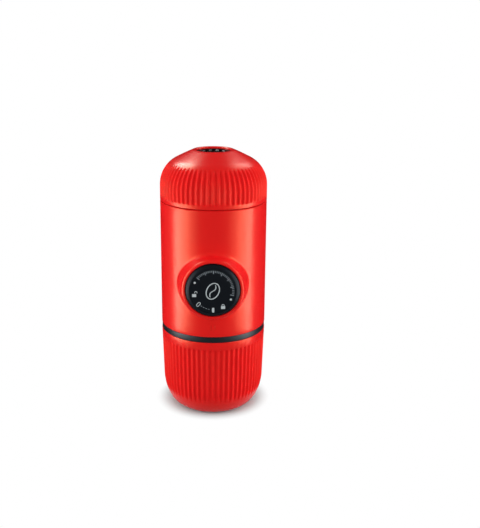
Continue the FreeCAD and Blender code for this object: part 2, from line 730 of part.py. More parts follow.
def index_marks():
    """Two short upright grooves below the boss."""
    marks = []
    for side in (-1, 1):
        centre = side * MARK_SPACING / 2
        corner = FreeCAD.Vector(
            centre - MARK_WIDTH / 2, -BODY_RADIUS - MARK_DEPTH, BODY_BOTTOM + MARK_RISE)
        marks.append(Part.makeBox(MARK_WIDTH, 2 * MARK_DEPTH, MARK_LENGTH, corner))
    return Part.makeCompound(marks)


def make_tank_base():
    """Tank floor with the threaded spigot, the inlet and four screw bosses."""
    outline = Outline(0, FLOOR_BOTTOM)
    outline.line(CORE_RADIUS, FLOOR_BOTTOM)
    outline.line(CORE_RADIUS, LEDGE_BOTTOM)
    outline.line(SPIGOT_RADIUS, LEDGE_BOTTOM)
    outline.line(SPIGOT_RADIUS, SEAM_HEIGHT + SPIGOT_HEIGHT - EDGE_BREAK)
    outline.line(SPIGOT_RADIUS - EDGE_BREAK, SEAM_HEIGHT + SPIGOT_HEIGHT)
    outline.line(SPIGOT_RADIUS - SPIGOT_WALL, SEAM_HEIGHT + SPIGOT_HEIGHT)
    outline.line(SPIGOT_RADIUS - SPIGOT_WALL, LEDGE_BOTTOM)
    outline.line(0, LEDGE_BOTTOM)
    bosses = [disc(POST_RADIUS, LEDGE_BOTTOM, LEDGE_BOTTOM + TANK_BOSS_HEIGHT, x, y)
              for x, y in post_places()]
    base = outline.turned().fuse(bosses).removeSplitter()
    cuts = [disc(SCREW_RADIUS + SEAL_GAP, FLOOR_BOTTOM, FLOOR_BOTTOM + TANK_FLOOR + SCREW_BITE, x, y)
            for x, y in post_places()]
    cuts.append(disc(DUCT_BORE, FLOOR_BOTTOM, LEDGE_BOTTOM, 0, DUCT_PLACE))
    cuts.append(disc(STRAINER_RADIUS, LEDGE_BOTTOM - STRAINER_THICKNESS, LEDGE_BOTTOM, 0, DUCT_PLACE))
    return base.cut(cuts)


def make_tank_seal():
    """Flat ring on the shell's ledge, which the tank's tongue presses."""
    return ring(
        SPIGOT_RADIUS + FIXED_GAP, BODY_BORE - FIXED_GAP, LEDGE_TOP, LEDGE_TOP + TANK_SEAL_THICKNESS)


def make_chassis():
    """Frame: barrel for the cylinder, bulkhead behind the well, four posts and two rings."""
    barrel_outer = CYLINDER_RADIUS + FIXED_GAP + BARREL_WALL
    back = CHAMBER_REACH - CYLINDER_END
    bulkhead_back = BULKHEAD_REACH - BULKHEAD_THICKNESS
    ring_top = FLOOR_BOTTOM - CHASSIS_RING
    barrel = along_pump(disc(barrel_outer, back - BARREL_BACK, bulkhead_back))
    half_width = math.sqrt(CORE_RADIUS ** 2 - BULKHEAD_REACH ** 2) - BULKHEAD_MARGIN
    bulkhead = Part.makeBox(
        2 * half_width, BULKHEAD_THICKNESS, FLOOR_BOTTOM - HEAD_TOP,
        FreeCAD.Vector(-half_width, -BULKHEAD_REACH, HEAD_TOP))
    posts = [disc(POST_RADIUS, HEAD_TOP, FLOOR_BOTTOM, x, y) for x, y in post_places()]
    inner = CORE_RADIUS - CHASSIS_RING_WIDTH
    rings = [ring(inner, CORE_RADIUS, HEAD_TOP, HEAD_TOP + CHASSIS_RING),
             ring(inner, CORE_RADIUS, ring_top, FLOOR_BOTTOM)]
    frame = barrel.fuse([bulkhead] + posts + rings)
    cuts = [
        along_pump(disc(CYLINDER_RADIUS + FIXED_GAP, back, BULKHEAD_REACH)),
        along_pump(disc(SLEEVE_RADIUS + FIXED_GAP, bulkhead_back, BULKHEAD_REACH)),
        along_pump(disc(WELL_RADIUS + WELL_WALL + FIXED_GAP, BULKHEAD_REACH, BODY_RADIUS)),
        disc(DUCT_RADIUS + FIXED_GAP, HEAD_TOP, FLOOR_BOTTOM, 0, DUCT_PLACE),
    ]
    for x, y in post_places():
        cuts.append(disc(SCREW_RADIUS + SEAL_GAP, HEAD_TOP, HEAD_TOP + CHASSIS_RING, x, y))
        cuts.append(disc(SCREW_RADIUS + SEAL_GAP, ring_top, FLOOR_BOTTOM, x, y))
        cuts.append(disc(SCREW_HEAD_RADIUS + MOVING_GAP, HEAD_TOP + CHASSIS_RING,
                         HEAD_TOP + CHASSIS_RING + SCREW_HEAD + MOVING_GAP, x, y))
        cuts.append(disc(SCREW_HEAD_RADIUS + MOVING_GAP, ring_top - SCREW_HEAD - MOVING_GAP,
                         ring_top, x, y))
    return frame.cut(cuts).removeSplitter()


def screw(head_at, tip_at, x, y):
    """Pan-head screw between two heights, with its head beyond head_at."""
    away = 1 if head_at > tip_at else -1
    shank = disc(SCREW_RADIUS, min(head_at, tip_at), max(head_at, tip_at), x, y)
    low, high = sorted((head_at, head_at + away * SCREW_HEAD))
    return shank.fuse(disc(SCREW_HEAD_RADIUS, low, high, x, y)).removeSplitter()


def make_tank_base_screws():
    """Four screws up through the chassis into the tank base."""
    head = FLOOR_BOTTOM - CHASSIS_RING
    tip = LEDGE_BOTTOM + SCREW_BITE - MOVING_GAP
    return Part.makeCompound([screw(head, tip, x, y) for x, y in post_places()])


def make_brew_head_screws():
    """Four screws down through the chassis into the brew head."""
    head = HEAD_TOP + CHASSIS_RING
    return Part.makeCompound([screw(head, HEAD_TOP - SCREW_BITE, x, y) for x, y in post_places()])


# ---- Brew head ----
def make_brew_head():
    """Threaded ring for the portafilter, with the gasket groove and the water chamber."""
    groove_in = BASKET_RADIUS - MOVING_GAP - FIXED_GAP
    groove_out = groove_in + GASKET_WIDTH + 2 * FIXED_GAP
    groove_top = HEAD_CEILING + GASKET_GRIP
    outline = Outline(CENTRE_POST_RADIUS, SCREEN_TOP)
    outline.line(0, SCREEN_TOP)
    outline.line(0, HEAD_TOP)
    outline.line(CORE_RADIUS, HEAD_TOP)
    outline.line(CORE_RADIUS, BODY_BOTTOM + HEAD_INSET)
    outline.line(COLLAR_RADIUS + MOVING_GAP, BODY_BOTTOM + HEAD_INSET)
    outline.line(COLLAR_RADIUS + MOVING_GAP, HEAD_CEILING)
    outline.line(groove_out, HEAD_CEILING)
    outline.line(groove_out, groove_top)
    outline.line(groove_in, groove_top)
    outline.line(groove_in, HEAD_CEILING)
    outline.line(SCREEN_RADIUS + FIXED_GAP, HEAD_CEILING)
    outline.line(SCREEN_RADIUS + FIXED_GAP, SCREEN_TOP)
    outline.line(CAVITY_RADIUS, SCREEN_TOP)
    outline.line(CAVITY_RADIUS, CAVITY_TOP)
    outline.line(CENTRE_POST_RADIUS, CAVITY_TOP)
    cuts = [disc(DUCT_BORE, CAVITY_TOP, HEAD_TOP, 0, DUCT_PLACE),
            disc(SCREW_RADIUS + SEAL_GAP, SCREEN_TOP, SCREEN_TOP + SHOWER_SCREW_BITE)]
    for x, y in post_places():
        cuts.append(disc(SCREW_RADIUS + SEAL_GAP, HEAD_TOP - SCREW_BITE - SEAL_GAP, HEAD_TOP, x, y))
    return outline.turned().cut(cuts)


def make_brew_gasket():
    """Ring that hangs from the brew head's groove onto the basket's rim."""
    inner = BASKET_RADIUS - MOVING_GAP
    return ring(inner, inner + GASKET_WIDTH, BASKET_RIM_TOP, HEAD_CEILING + GASKET_GRIP)


def make_shower_screen():
    """Perforated steel disc under the water chamber."""
    plate = ring(SCREW_RADIUS + FIXED_GAP, SCREEN_RADIUS, SCREEN_BOTTOM, SCREEN_TOP)
    return plate.cut(perforations(HOLE_RINGS, HOLE_PITCH, SCREEN_BOTTOM, SCREEN_TOP))


def make_shower_screw():
    """Screw that holds the shower screen."""
    head = disc(SHOWER_SCREW_HEAD_RADIUS, SCREEN_BOTTOM - SHOWER_SCREW_HEAD, SCREEN_BOTTOM)
    shank = disc(SCREW_RADIUS, SCREEN_BOTTOM, SCREEN_TOP + SHOWER_SCREW_BITE - SEAL_GAP)
    return head.fuse(shank).removeSplitter()


# ---- Pump ----
def make_pump_cylinder():
    """Steel cup that the piston runs in, with an inlet port above and an outlet port below."""
    shell = disc(CYLINDER_RADIUS, CHAMBER_REACH - CYLINDER_END, CYLINDER_MOUTH)
    cylinder = along_pump(shell.cut(disc(PISTON_BORE, CHAMBER_REACH, CYLINDER_MOUTH)))
    ports = disc(PORT_RADIUS, PUMP_HEIGHT - BODY_RADIUS, PUMP_HEIGHT + BODY_RADIUS, 0, DUCT_PLACE)
    return cylinder.cut(ports)


def make_lock_sleeve():
    """Sleeve screwed into the bulkhead, with one wide track for each of the button's lugs."""
    tail = BULKHEAD_REACH - BULKHEAD_THICKNESS
    flange_top = BULKHEAD_REACH + SLEEVE_FLANGE
    outline = Outline(SLEEVE_BORE, tail)
    outline.line(SLEEVE_RADIUS, tail)
    outline.line(SLEEVE_RADIUS, BULKHEAD_REACH)
    outline.line(WELL_RADIUS - FIXED_GAP, BULKHEAD_REACH)
    outline.line(WELL_RADIUS - FIXED_GAP, flange_top)
    outline.line(SLEEVE_RADIUS, flange_top)
    outline.line(SLEEVE_RADIUS, SLEEVE_FRONT)
    outline.line(SLEEVE_BORE, SLEEVE_FRONT)
    sleeve = outline.turned()
    track_end = SKIRT_REACH + STROKE + LUG_LENGTH + MOVING_GAP
    sweep = BUTTON_TURN + LUG_WIDTH + 2 * TRACK_PLAY
    for lug in range(LUG_COUNT):
        start = 360 / LUG_COUNT * lug - LUG_WIDTH / 2 - TRACK_PLAY
        sleeve = sleeve.cut(sector(TRACK_FLOOR, WELL_RADIUS, flange_top, track_end, start, sweep))
    return along_pump(sleeve)


def make_guide_bush():
    """Flanged bearing bush in the cylinder's mouth."""
    outline = Outline(PLUNGER_RADIUS + GUIDE_GAP, CYLINDER_MOUTH - BUSH_LENGTH)
    outline.line(PISTON_BORE - SEAL_GAP, CYLINDER_MOUTH - BUSH_LENGTH)
    outline.line(PISTON_BORE - SEAL_GAP, CYLINDER_MOUTH)
    outline.line(SLEEVE_BORE - SEAL_GAP, CYLINDER_MOUTH)
    outline.line(SLEEVE_BORE - SEAL_GAP, SLEEVE_FRONT)
    outline.line(PLUNGER_RADIUS + GUIDE_GAP, SLEEVE_FRONT)
    return along_pump(outline.turned())


def make_plunger():
    """Hollow rod with the piston head behind and a neck for the button in front."""
    head_radius = PISTON_BORE - HEAD_PLAY
    groove_radius = PISTON_BORE - SEAL_GAP - SEAL_DEPTH - SEAL_GAP
    groove_back = HEAD_BACK + (HEAD_LENGTH - SEAL_LENGTH) / 2
    bore = PLUNGER_RADIUS - PLUNGER_WALL
    outline = Outline(bore, HEAD_BACK)
    outline.line(head_radius, HEAD_BACK)
    outline.line(head_radius, groove_back - SEAL_GAP)
    outline.line(groove_radius, groove_back - SEAL_GAP)
    outline.line(groove_radius, groove_back + SEAL_LENGTH + SEAL_GAP)
    outline.line(head_radius, groove_back + SEAL_LENGTH + SEAL_GAP)
    outline.line(head_radius, HEAD_FRONT)
    outline.line(PLUNGER_RADIUS, HEAD_FRONT)
    outline.line(PLUNGER_RADIUS, PLUNGER_TIP)
    outline.line(NECK_RADIUS, PLUNGER_TIP)
    outline.line(NECK_RADIUS, CLIP_BACK)
    outline.line(NECK_RADIUS - CLIP_GRIP, CLIP_BACK)
    outline.line(NECK_RADIUS - CLIP_GRIP, CLIP_BACK + CLIP_THICKNESS + SEAL_GAP)
    outline.line(NECK_RADIUS, CLIP_BACK + CLIP_THICKNESS + SEAL_GAP)
    outline.line(NECK_RADIUS, PLUNGER_TIP + NECK_LENGTH)
    outline.line(0, PLUNGER_TIP + NECK_LENGTH)
    outline.line(0, PLUNGER_TIP - PLUNGER_FRONT)
    outline.line(bore, PLUNGER_TIP - PLUNGER_FRONT)
    return along_pump(outline.turned())


def make_plunger_seal():
    """Lip ring in the piston head's groove."""
    back = HEAD_BACK + (HEAD_LENGTH - SEAL_LENGTH) / 2
    outer = PISTON_BORE - SEAL_GAP
    return along_pump(ring(outer - SEAL_DEPTH, outer, back, back + SEAL_LENGTH))


def make_button_clip():
    """E-clip on the plunger's neck, in front of the button's web."""
    inner = NECK_RADIUS - CLIP_GRIP + SEAL_GAP
    outer = inner + CLIP_WIDTH
    clip = ring(inner, outer, CLIP_BACK, CLIP_BACK + CLIP_THICKNESS)
    mouth = Part.makeBox(
        outer, 2 * inner, CLIP_THICKNESS, FreeCAD.Vector(0, -inner, CLIP_BACK))
    return along_pump(clip.cut(mouth))


def make_return_spring():
    """Coil inside the plunger, from the cylinder's end wall to the plunger's front."""
    back = CHAMBER_REACH + SPRING_WIRE / 2
    front = PLUNGER_TIP - PLUNGER_FRONT - SPRING_WIRE / 2
    pitch = (front - back) / SPRING_TURNS
    helix = Part.makeHelix(pitch, front - back, SPRING_RADIUS)
    corners = []
    for side in range(SPRING_SIDES + 1):
        angle = 2 * math.pi * side / SPRING_SIDES
        corners.append(FreeCAD.Vector(
            SPRING_RADIUS + SPRING_WIRE / 2 * math.cos(angle), 0, SPRING_WIRE / 2 * math.sin(angle)))
    coil = Part.Wire(helix.Edges).makePipeShell([Part.makePolygon(corners)], True, True)
    coil.translate(FreeCAD.Vector(0, 0, back))
    return along_pump(coil)


# ---- Button ----
def make_button_cap():
    """Button with a bevelled edge, a long skirt, two lugs inside it and a hub for the neck."""
    hub_bore = HUB_RADIUS - HUB_WALL
    bevel_r = BUTTON_RADIUS - BUTTON_BEVEL_WIDTH
    seat_r = bevel_r - FACE_EDGE
    outline = Outline(SKIRT_BORE, SKIRT_REACH)
    outline.line(BUTTON_RADIUS, SKIRT_REACH)
    outline.line(BUTTON_RADIUS, BUTTON_REACH - BUTTON_BEVEL_DEPTH)
    outline.line(bevel_r, BUTTON_REACH)
    outline.line(seat_r, BUTTON_REACH)
    outline.line(seat_r, FACE_SEAT)
    outline.line(hub_bore, FACE_SEAT)
    outline.line(hub_bore, WEB_FRONT)
    outline.line(NECK_RADIUS + MOVING_GAP, WEB_FRONT)
    outline.line(NECK_RADIUS + MOVING_GAP, PLUNGER_TIP)
    outline.line(HUB_RADIUS, PLUNGER_TIP)
    outline.line(HUB_RADIUS, PLATE_BACK)
    outline.line(SKIRT_BORE, PLATE_BACK)
    cap = outline.turned()
    lugs = []
    for lug in range(LUG_COUNT):
        start = 360 / LUG_COUNT * lug - LUG_WIDTH / 2
        lugs.append(sector(
            SKIRT_BORE - LUG_HEIGHT, SKIRT_BORE + LUG_ROOT,
            SKIRT_REACH, SKIRT_REACH + LUG_LENGTH, start, LUG_WIDTH))
    return along_pump(cap.fuse(lugs).removeSplitter())


def make_button_face():
    """Printed disc let into the button."""
    radius = BUTTON_RADIUS - BUTTON_BEVEL_WIDTH - FACE_EDGE - FIXED_GAP
    return along_pump(disc(radius, FACE_SEAT, BUTTON_REACH))


# ---- Portafilter, basket, scoop ----
def make_portafilter():
    """Threaded collar, visible band, plug for the cup, funnel and spout pin in one piece."""
    basket_bore = BASKET_RADIUS + 2 * FIXED_GAP
    seat_bore = BASKET_RADIUS + BASKET_RIM_WIDTH + 2 * FIXED_GAP
    funnel_top = BASKET_BOTTOM - MOVING_GAP
    groove_top = CUP_HEIGHT - CUP_SEAL_PLACE
    groove_bottom = groove_top - CUP_SEAL_HEIGHT
    groove_r = PLUG_RADIUS - CUP_SEAL_DEPTH
    outline = Outline(seat_bore, COLLAR_TOP)
    outline.line(COLLAR_RADIUS, COLLAR_TOP)
    outline.line(COLLAR_RADIUS, BODY_BOTTOM)
    outline.line(BAND_RADIUS, BODY_BOTTOM)
    outline.line(BAND_RADIUS, CUP_HEIGHT)
    outline.line(PLUG_RADIUS, CUP_HEIGHT)
    outline.line(PLUG_RADIUS, groove_top)
    outline.line(groove_r, groove_top)
    outline.line(groove_r, groove_bottom)
    outline.line(PLUG_RADIUS, groove_bottom)
    outline.line(PLUG_RADIUS, PLUG_BOTTOM + PLUG_BEVEL)
    outline.line(PLUG_RADIUS - PLUG_BEVEL, PLUG_BOTTOM)
    outline.line(basket_bore, funnel_top - FUNNEL_WALL)
    outline.line(NECK_TOP_RADIUS, NECK_TOP)
    outline.line(SPOUT_RADIUS, SPOUT_SEAT)
    outline.line(SPOUT_PIN_RADIUS, SPOUT_SEAT)
    outline.line(SPOUT_PIN_RADIUS, SPOUT_SEAT - SPOUT_PIN_LENGTH)
    outline.line(OUTLET_RADIUS, SPOUT_SEAT - SPOUT_PIN_LENGTH)
    outline.line(OUTLET_RADIUS, funnel_top - FUNNEL_DROP)
    outline.line(basket_bore, funnel_top)
    outline.line(basket_bore, BASKET_SEAT)
    outline.line(seat_bore, BASKET_SEAT)
    return outline.turned()


def make_cup_seal():
    """Soft ring in the plug's groove, which grips the cup."""
    top = CUP_HEIGHT - CUP_SEAL_PLACE - SEAL_GAP
    inner = PLUG_RADIUS - CUP_SEAL_DEPTH + SEAL_GAP
    outer = PLUG_RADIUS + MOVING_GAP
    return ring(inner, outer, top - CUP_SEAL_HEIGHT + 2 * SEAL_GAP, top)


def make_spout():
    """Nozzle on the portafilter's pin, tapering to the outlet."""
    taper_top = SPOUT_SEAT - SPOUT_STRAIGHT
    tip = SPOUT_SEAT - SPOUT_LENGTH
    socket_bottom = SPOUT_SEAT - SPOUT_PIN_LENGTH - SEAL_GAP
    outline = Outline(SPOUT_PIN_RADIUS + SEAL_GAP, SPOUT_SEAT)
    outline.line(SPOUT_RADIUS, SPOUT_SEAT)
    outline.line(SPOUT_RADIUS, taper_top)
    outline.tangent_arc(SPOUT_TIP_RADIUS, tip)
    outline.line(SPOUT_BORE, tip)
    outline.line(SPOUT_BORE, socket_bottom)
    outline.line(SPOUT_PIN_RADIUS + SEAL_GAP, socket_bottom)
    return outline.turned()


def make_filter_basket():
    """Pressed steel basket with a flat rim and a perforated bottom."""
    outline = Outline(0, BASKET_BOTTOM)
    outline.line(BASKET_FOOT_RADIUS, BASKET_BOTTOM)
    outline.line(BASKET_RADIUS, BASKET_SEAT)
    outline.line(BASKET_RADIUS + BASKET_RIM_WIDTH, BASKET_SEAT)
    outline.line(BASKET_RADIUS + BASKET_RIM_WIDTH, BASKET_RIM_TOP)
    outline.line(BASKET_RADIUS - BASKET_WALL, BASKET_RIM_TOP)
    outline.line(BASKET_FOOT_RADIUS - BASKET_WALL, BASKET_BOTTOM + BASKET_WALL)
    outline.line(0, BASKET_BOTTOM + BASKET_WALL)
    holes = perforations(HOLE_RINGS, HOLE_PITCH, BASKET_BOTTOM, BASKET_BOTTOM + BASKET_WALL)
    return outline.turned().cut(holes)


def make_scoop():
    """Measuring scoop stowed in the basket, with a finger tab inside its rim."""
    bottom = BASKET_BOTTOM + BASKET_WALL
    top = bottom + SCOOP_HEIGHT
    outer = BASKET_FOOT_RADIUS - BASKET_WALL - SCOOP_GAP
    inner = outer - SCOOP_WALL
    outline = Outline(0, bottom)
    outline.line(outer - SCOOP_FOOT_ROUND, bottom)
    outline.arc_about(outer - SCOOP_FOOT_ROUND, bottom + SCOOP_FOOT_ROUND,
                      outer, bottom + SCOOP_FOOT_ROUND)
    outline.line(outer, top)
    outline.line(inner, top)
    outline.line(inner, bottom + SCOOP_WALL)
    outline.line(0, bottom + SCOOP_WALL)
    tab = Part.makeBox(
        SCOOP_TAB_WIDTH, SCOOP_TAB_REACH, SCOOP_TAB_THICKNESS,
        FreeCAD.Vector(-SCOOP_TAB_WIDTH / 2, inner - SCOOP_TAB_REACH + SCOOP_WALL / 2,
                       top - SCOOP_TAB_THICKNESS))
    return outline.turned().fuse(tab.common(disc(outer, bottom, top))).removeSplitter()


PIECES = {
    "cup": make_cup,
    "water_tank": make_water_tank,
    "vent_cap": make_vent_cap,
    "vent_valve": make_vent_valve,
    "body_shell": make_body_shell,
    "tank_base": make_tank_base,
    "tank_seal": make_tank_seal,
    "inlet_strainer": make_inlet_strainer,
    "inlet_valve": make_inlet_valve,
    "inlet_duct": make_inlet_duct,
    "outlet_duct": make_outlet_duct,
    "outlet_valve": make_outlet_valve,
    "chassis": make_chassis,
    "tank_base_screws": make_tank_base_screws,
    "brew_head_screws": make_brew_head_screws,
    "brew_head": make_brew_head,
    "brew_gasket": make_brew_gasket,
    "shower_screen": make_shower_screen,
    "shower_screw": make_shower_screw,
    "pump_cylinder": make_pump_cylinder,
    "lock_sleeve": make_lock_sleeve,
    "guide_bush": make_guide_bush,
    "plunger": make_plunger,
    "plunger_seal": make_plunger_seal,
    "button_clip": make_button_clip,
    "return_spring": make_return_spring,
    "button_cap": make_button_cap,
    "button_face": make_button_face,
    "portafilter": make_portafilter,
    "cup_seal": make_cup_seal,
    "spout": make_spout,
    "filter_basket": make_filter_basket,
    "scoop": make_scoop,
}


def main():
    """Build every piece and write it to its own file."""
    os.makedirs("parts", exist_ok=True)
    for name, make in PIECES.items():
        shape = make()
        if not shape.isValid():
            raise ValueError(name + " is not a valid solid")
        shape.exportStep("parts/" + name + ".step")
        print(f"{name:18s} solids {len(shape.Solids)} volume {shape.Volume:10.1f}")


main()
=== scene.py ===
"""Looks of a handheld manual espresso maker: moulded shells, finishes, prints and the studio.

The maker's sizes are in millimetres, and a mesh is brought to metres when its piece is finished.
The studio is set out in metres.
Z is up, the cup's foot stands at the origin and the pump's button faces -Y.
"""

import json
import logging
import math
from dataclasses import dataclass
from enum import Enum
from typing import Callable, Iterable, Optional

import bmesh
import bpy
from mathutils import Matrix, Vector

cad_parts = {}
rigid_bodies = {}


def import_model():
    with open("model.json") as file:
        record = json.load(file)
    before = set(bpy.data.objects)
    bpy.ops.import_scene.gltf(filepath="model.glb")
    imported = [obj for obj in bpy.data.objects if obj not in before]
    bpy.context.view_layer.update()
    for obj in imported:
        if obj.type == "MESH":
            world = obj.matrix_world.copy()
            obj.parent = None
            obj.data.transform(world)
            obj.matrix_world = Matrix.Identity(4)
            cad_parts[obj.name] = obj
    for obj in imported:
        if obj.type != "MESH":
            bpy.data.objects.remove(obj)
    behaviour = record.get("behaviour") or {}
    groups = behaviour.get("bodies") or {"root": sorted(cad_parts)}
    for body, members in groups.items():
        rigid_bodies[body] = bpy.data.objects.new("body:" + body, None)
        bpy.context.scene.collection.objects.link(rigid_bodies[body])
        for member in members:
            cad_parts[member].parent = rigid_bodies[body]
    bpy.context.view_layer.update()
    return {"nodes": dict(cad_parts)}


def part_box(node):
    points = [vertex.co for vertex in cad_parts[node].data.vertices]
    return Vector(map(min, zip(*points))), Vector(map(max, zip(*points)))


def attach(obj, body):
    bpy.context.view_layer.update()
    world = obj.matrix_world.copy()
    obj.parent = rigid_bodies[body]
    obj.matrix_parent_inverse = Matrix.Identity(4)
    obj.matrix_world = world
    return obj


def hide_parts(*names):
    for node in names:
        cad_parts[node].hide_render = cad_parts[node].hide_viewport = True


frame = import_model()

LOG = logging.getLogger("maker")
MM = 0.001
WELD = 1e-4
# Sockets of a colour mix by number, because several of them share a name.
MIX_SHARE, MIX_A, MIX_B, MIX_RESULT = 0, 6, 7, 2
# Where a vertex keeps its share of the flutes' depth, and the share from which a face is grip.
GRIP = "grip"
GRIP_START = 0.5
# Bevel of a printed bar's corners that rounds its ends, as a share of half its width.
ROUND_END = 0.98


class Body(Enum):
    """The moving bodies that carry a piece, by their names in the frame."""

    MAIN = "main"
    TANK = "tank"
    BUTTON = "button"
    PORTAFILTER = "portafilter"
    CUP = "cup"


class Slot(Enum):
    """The record's material slots by name; no piece here is given one."""

    RED = "red_shell"
    BLACK = "black_plastic"
    FACE = "face_print"
    SILICONE = "black_silicone"


class Edge:
    """How far the corners of the mouldings are rounded."""

    CRISP = 0.1
    FINE = 0.2
    SOFT = 0.3
    ROUND = 0.4
    RIM = 0.45
    BROAD = 0.5
    FULL = 0.6


# ---- Small helpers ----
def linear(hex_colour: str) -> tuple[float, float, float, float]:
    """Turn an sRGB hex colour into linear light.

    Args:
        hex_colour: Six hex digits, with or without a leading hash.

    Returns:
        Red, green, blue and alpha for a shader's socket.
    """
    digits = hex_colour.lstrip("#")
    channels = [int(digits[place:place + 2], 16) / 255 for place in (0, 2, 4)]
    values = [c / 12.92 if c <= 0.04045 else ((c + 0.055) / 1.055) ** 2.4 for c in channels]
    return (values[0], values[1], values[2], 1.0)


def add_node(tree: bpy.types.NodeTree, kind: str, values: Optional[dict] = None,
             links: Optional[dict] = None, **settings: object) -> bpy.types.Node:
    """Add one node to a tree.

    Args:
        tree: The node tree.
        kind: The node's type name.
        values: Socket name or number to a fixed value.
        links: Socket name or number to the output that feeds it.
        settings: Attributes of the node itself.

    Returns:
        The new node.
    """
    node = tree.nodes.new(kind)
    for name, value in settings.items():
        setattr(node, name, value)
    for socket, value in (values or {}).items():
        node.inputs[socket].default_value = value
    for socket, source in (links or {}).items():
        tree.links.new(source, node.inputs[socket])
    return node


def extent(node: str) -> tuple[Vector, Vector]:
    """The lowest and highest corner of a frame node, in millimetres."""
    low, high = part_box(node)
    return low / MM, high / MM


PUMP_HEIGHT = sum(corner.z for corner in extent("button_cap")) / 2


def blank_material(name: str) -> tuple[bpy.types.Material, bpy.types.NodeTree, bpy.types.NodeSocket]:
    """Make a material whose node tree holds nothing but its coordinates.

    Args:
        name: The material's name.

    Returns:
        The material, its tree and the output that gives a place on the object.
    """
    material = bpy.data.materials.new(name)
    material.use_nodes = True
    tree = material.node_tree
    tree.nodes.clear()
    return material, tree, add_node(tree, "ShaderNodeTexCoord").outputs["Object"]


def end_in_surface(tree: bpy.types.NodeTree, texture: bpy.types.NodeSocket, gloss: tuple[float, float],
                   relief: tuple[float, float], values: dict, links: Optional[dict] = None) -> None:
    """End a tree in a surface whose gloss and bump follow a texture.

    Args:
        tree: The node tree.
        texture: The texture's value.
        gloss: Roughness where the texture is 0, and where it is 1.
        relief: Strength of the bump, and its depth in millimetres.
        values: Fixed values of the surface.
        links: Other outputs that feed it.
    """
    rough = add_node(tree, "ShaderNodeMapRange", {"To Min": gloss[0], "To Max": gloss[1]},
                     {"Value": texture})
    bump = add_node(tree, "ShaderNodeBump", {"Strength": relief[0], "Distance": relief[1] * MM},
                    {"Height": texture})
    shader = add_node(tree, "ShaderNodeBsdfPrincipled", values,
                      {"Roughness": rough.outputs["Result"], "Normal": bump.outputs["Normal"],
                       **(links or {})})
    add_node(tree, "ShaderNodeOutputMaterial", None, {"Surface": shader.outputs["BSDF"]})


def whole(mesh: bmesh.types.BMesh) -> list:
    """Every vertex, edge and face of a mesh."""
    return list(mesh.verts) + list(mesh.edges) + list(mesh.faces)


def placed(name: str, mesh: bmesh.types.BMesh, *materials: bpy.types.Material) -> bpy.types.Object:
    """Make an object of a mesh and put it in the scene.

    Args:
        name: The name of the object and of its mesh.
        mesh: The mesh, which is freed.
        materials: Its materials, slot by slot.

    Returns:
        The object.
    """
    data = bpy.data.meshes.new(name)
    mesh.to_mesh(data)
    mesh.free()
    for material in materials:
        data.materials.append(material)
    item = bpy.data.objects.new(name, data)
    bpy.context.scene.collection.objects.link(item)
    return item


# ---- Outlines and turned shapes ----
class Outline:
    """A half-section drawn as radius and height, turned later about the height axis."""

    def __init__(self, radius: float, height: float, edge: float = 0.0) -> None:
        """Start at a point, whose corner is rounded by `edge` when the outline closes."""
        self.points = [Vector((radius, height))]
        self.edges = [edge]

    def line(self, radius: float, height: float, edge: float = 0.0, steps: int = 1) -> None:
        """Draw a straight stretch.

        Args:
            radius: Radius of its end.
            height: Height of its end.
            edge: How far back from the end its corner is rounded.
            steps: Number of equal spans.
        """
        start = self.points[-1]
        end = Vector((radius, height))
        for step in range(1, steps + 1):
            self.points.append(start.lerp(end, step / steps))
            self.edges.append(edge if step == steps else 0.0)

    def path(self, *stops: tuple[float, ...]) -> None:
        """Draw straight stretches.

        Args:
            stops: Radius and height of each end, its corner's rounding and the number of spans.
        """
        for stop in stops:
            self.line(*stop)

    def ellipse(self, centre: tuple[float, float], size: tuple[float, float],
                start: float, end: float, steps: int) -> None:
        """Draw part of an ellipse whose axes lie along radius and height.

        Args:
            centre: Its centre as radius and height.
            size: Its half-axes along radius and height.
            start: Start angle in degrees from the radius axis.
            end: End angle in degrees.
            steps: Number of spans.
        """
        for step in range(steps + 1):
            angle = math.radians(start + (end - start) * step / steps)
            point = Vector((centre[0] + size[0] * math.cos(angle), centre[1] + size[1] * math.sin(angle)))
            if (point - self.points[-1]).length > WELD:
                self.points.append(point)
                self.edges.append(0.0)

    def bend(self, radius: float, height: float, pull: Vector, steps: int) -> None:
        """Draw a smooth bend that leaves along a direction.

        Args:
            radius: Radius of its end.
            height: Height of its end.
            pull: Control point offset from the last point.
            steps: Number of spans.
        """
        start = self.points[-1]
        control = start + pull
        end = Vector((radius, height))
        for step in range(1, steps + 1):
            t = step / steps
            self.points.append(start.lerp(control, t).lerp(control.lerp(end, t), t))
            self.edges.append(0.0)

    def rounded(self, closed: bool = True, steps: int = 3) -> list[Vector]:
        """Round the marked corners.

        Args:
            closed: Whether the last point joins the first.
            steps: Spans across one rounded corner.

        Returns:
            The points of the finished outline.
        """
        count = len(self.points)
        made = []
        for place, (corner, edge) in enumerate(zip(self.points, self.edges)):
            ended = not closed and place in (0, count - 1)
            if edge <= 0 or ended:
                made.append(corner)
                continue
            before = self.points[place - 1] - corner
            after = self.points[(place + 1) % count] - corner
            start = corner + before.normalized() * edge
            end = corner + after.normalized() * edge
            for step in range(steps + 1):
                t = step / steps
                made.append(start.lerp(corner, t).lerp(corner.lerp(end, t), t))
        return made


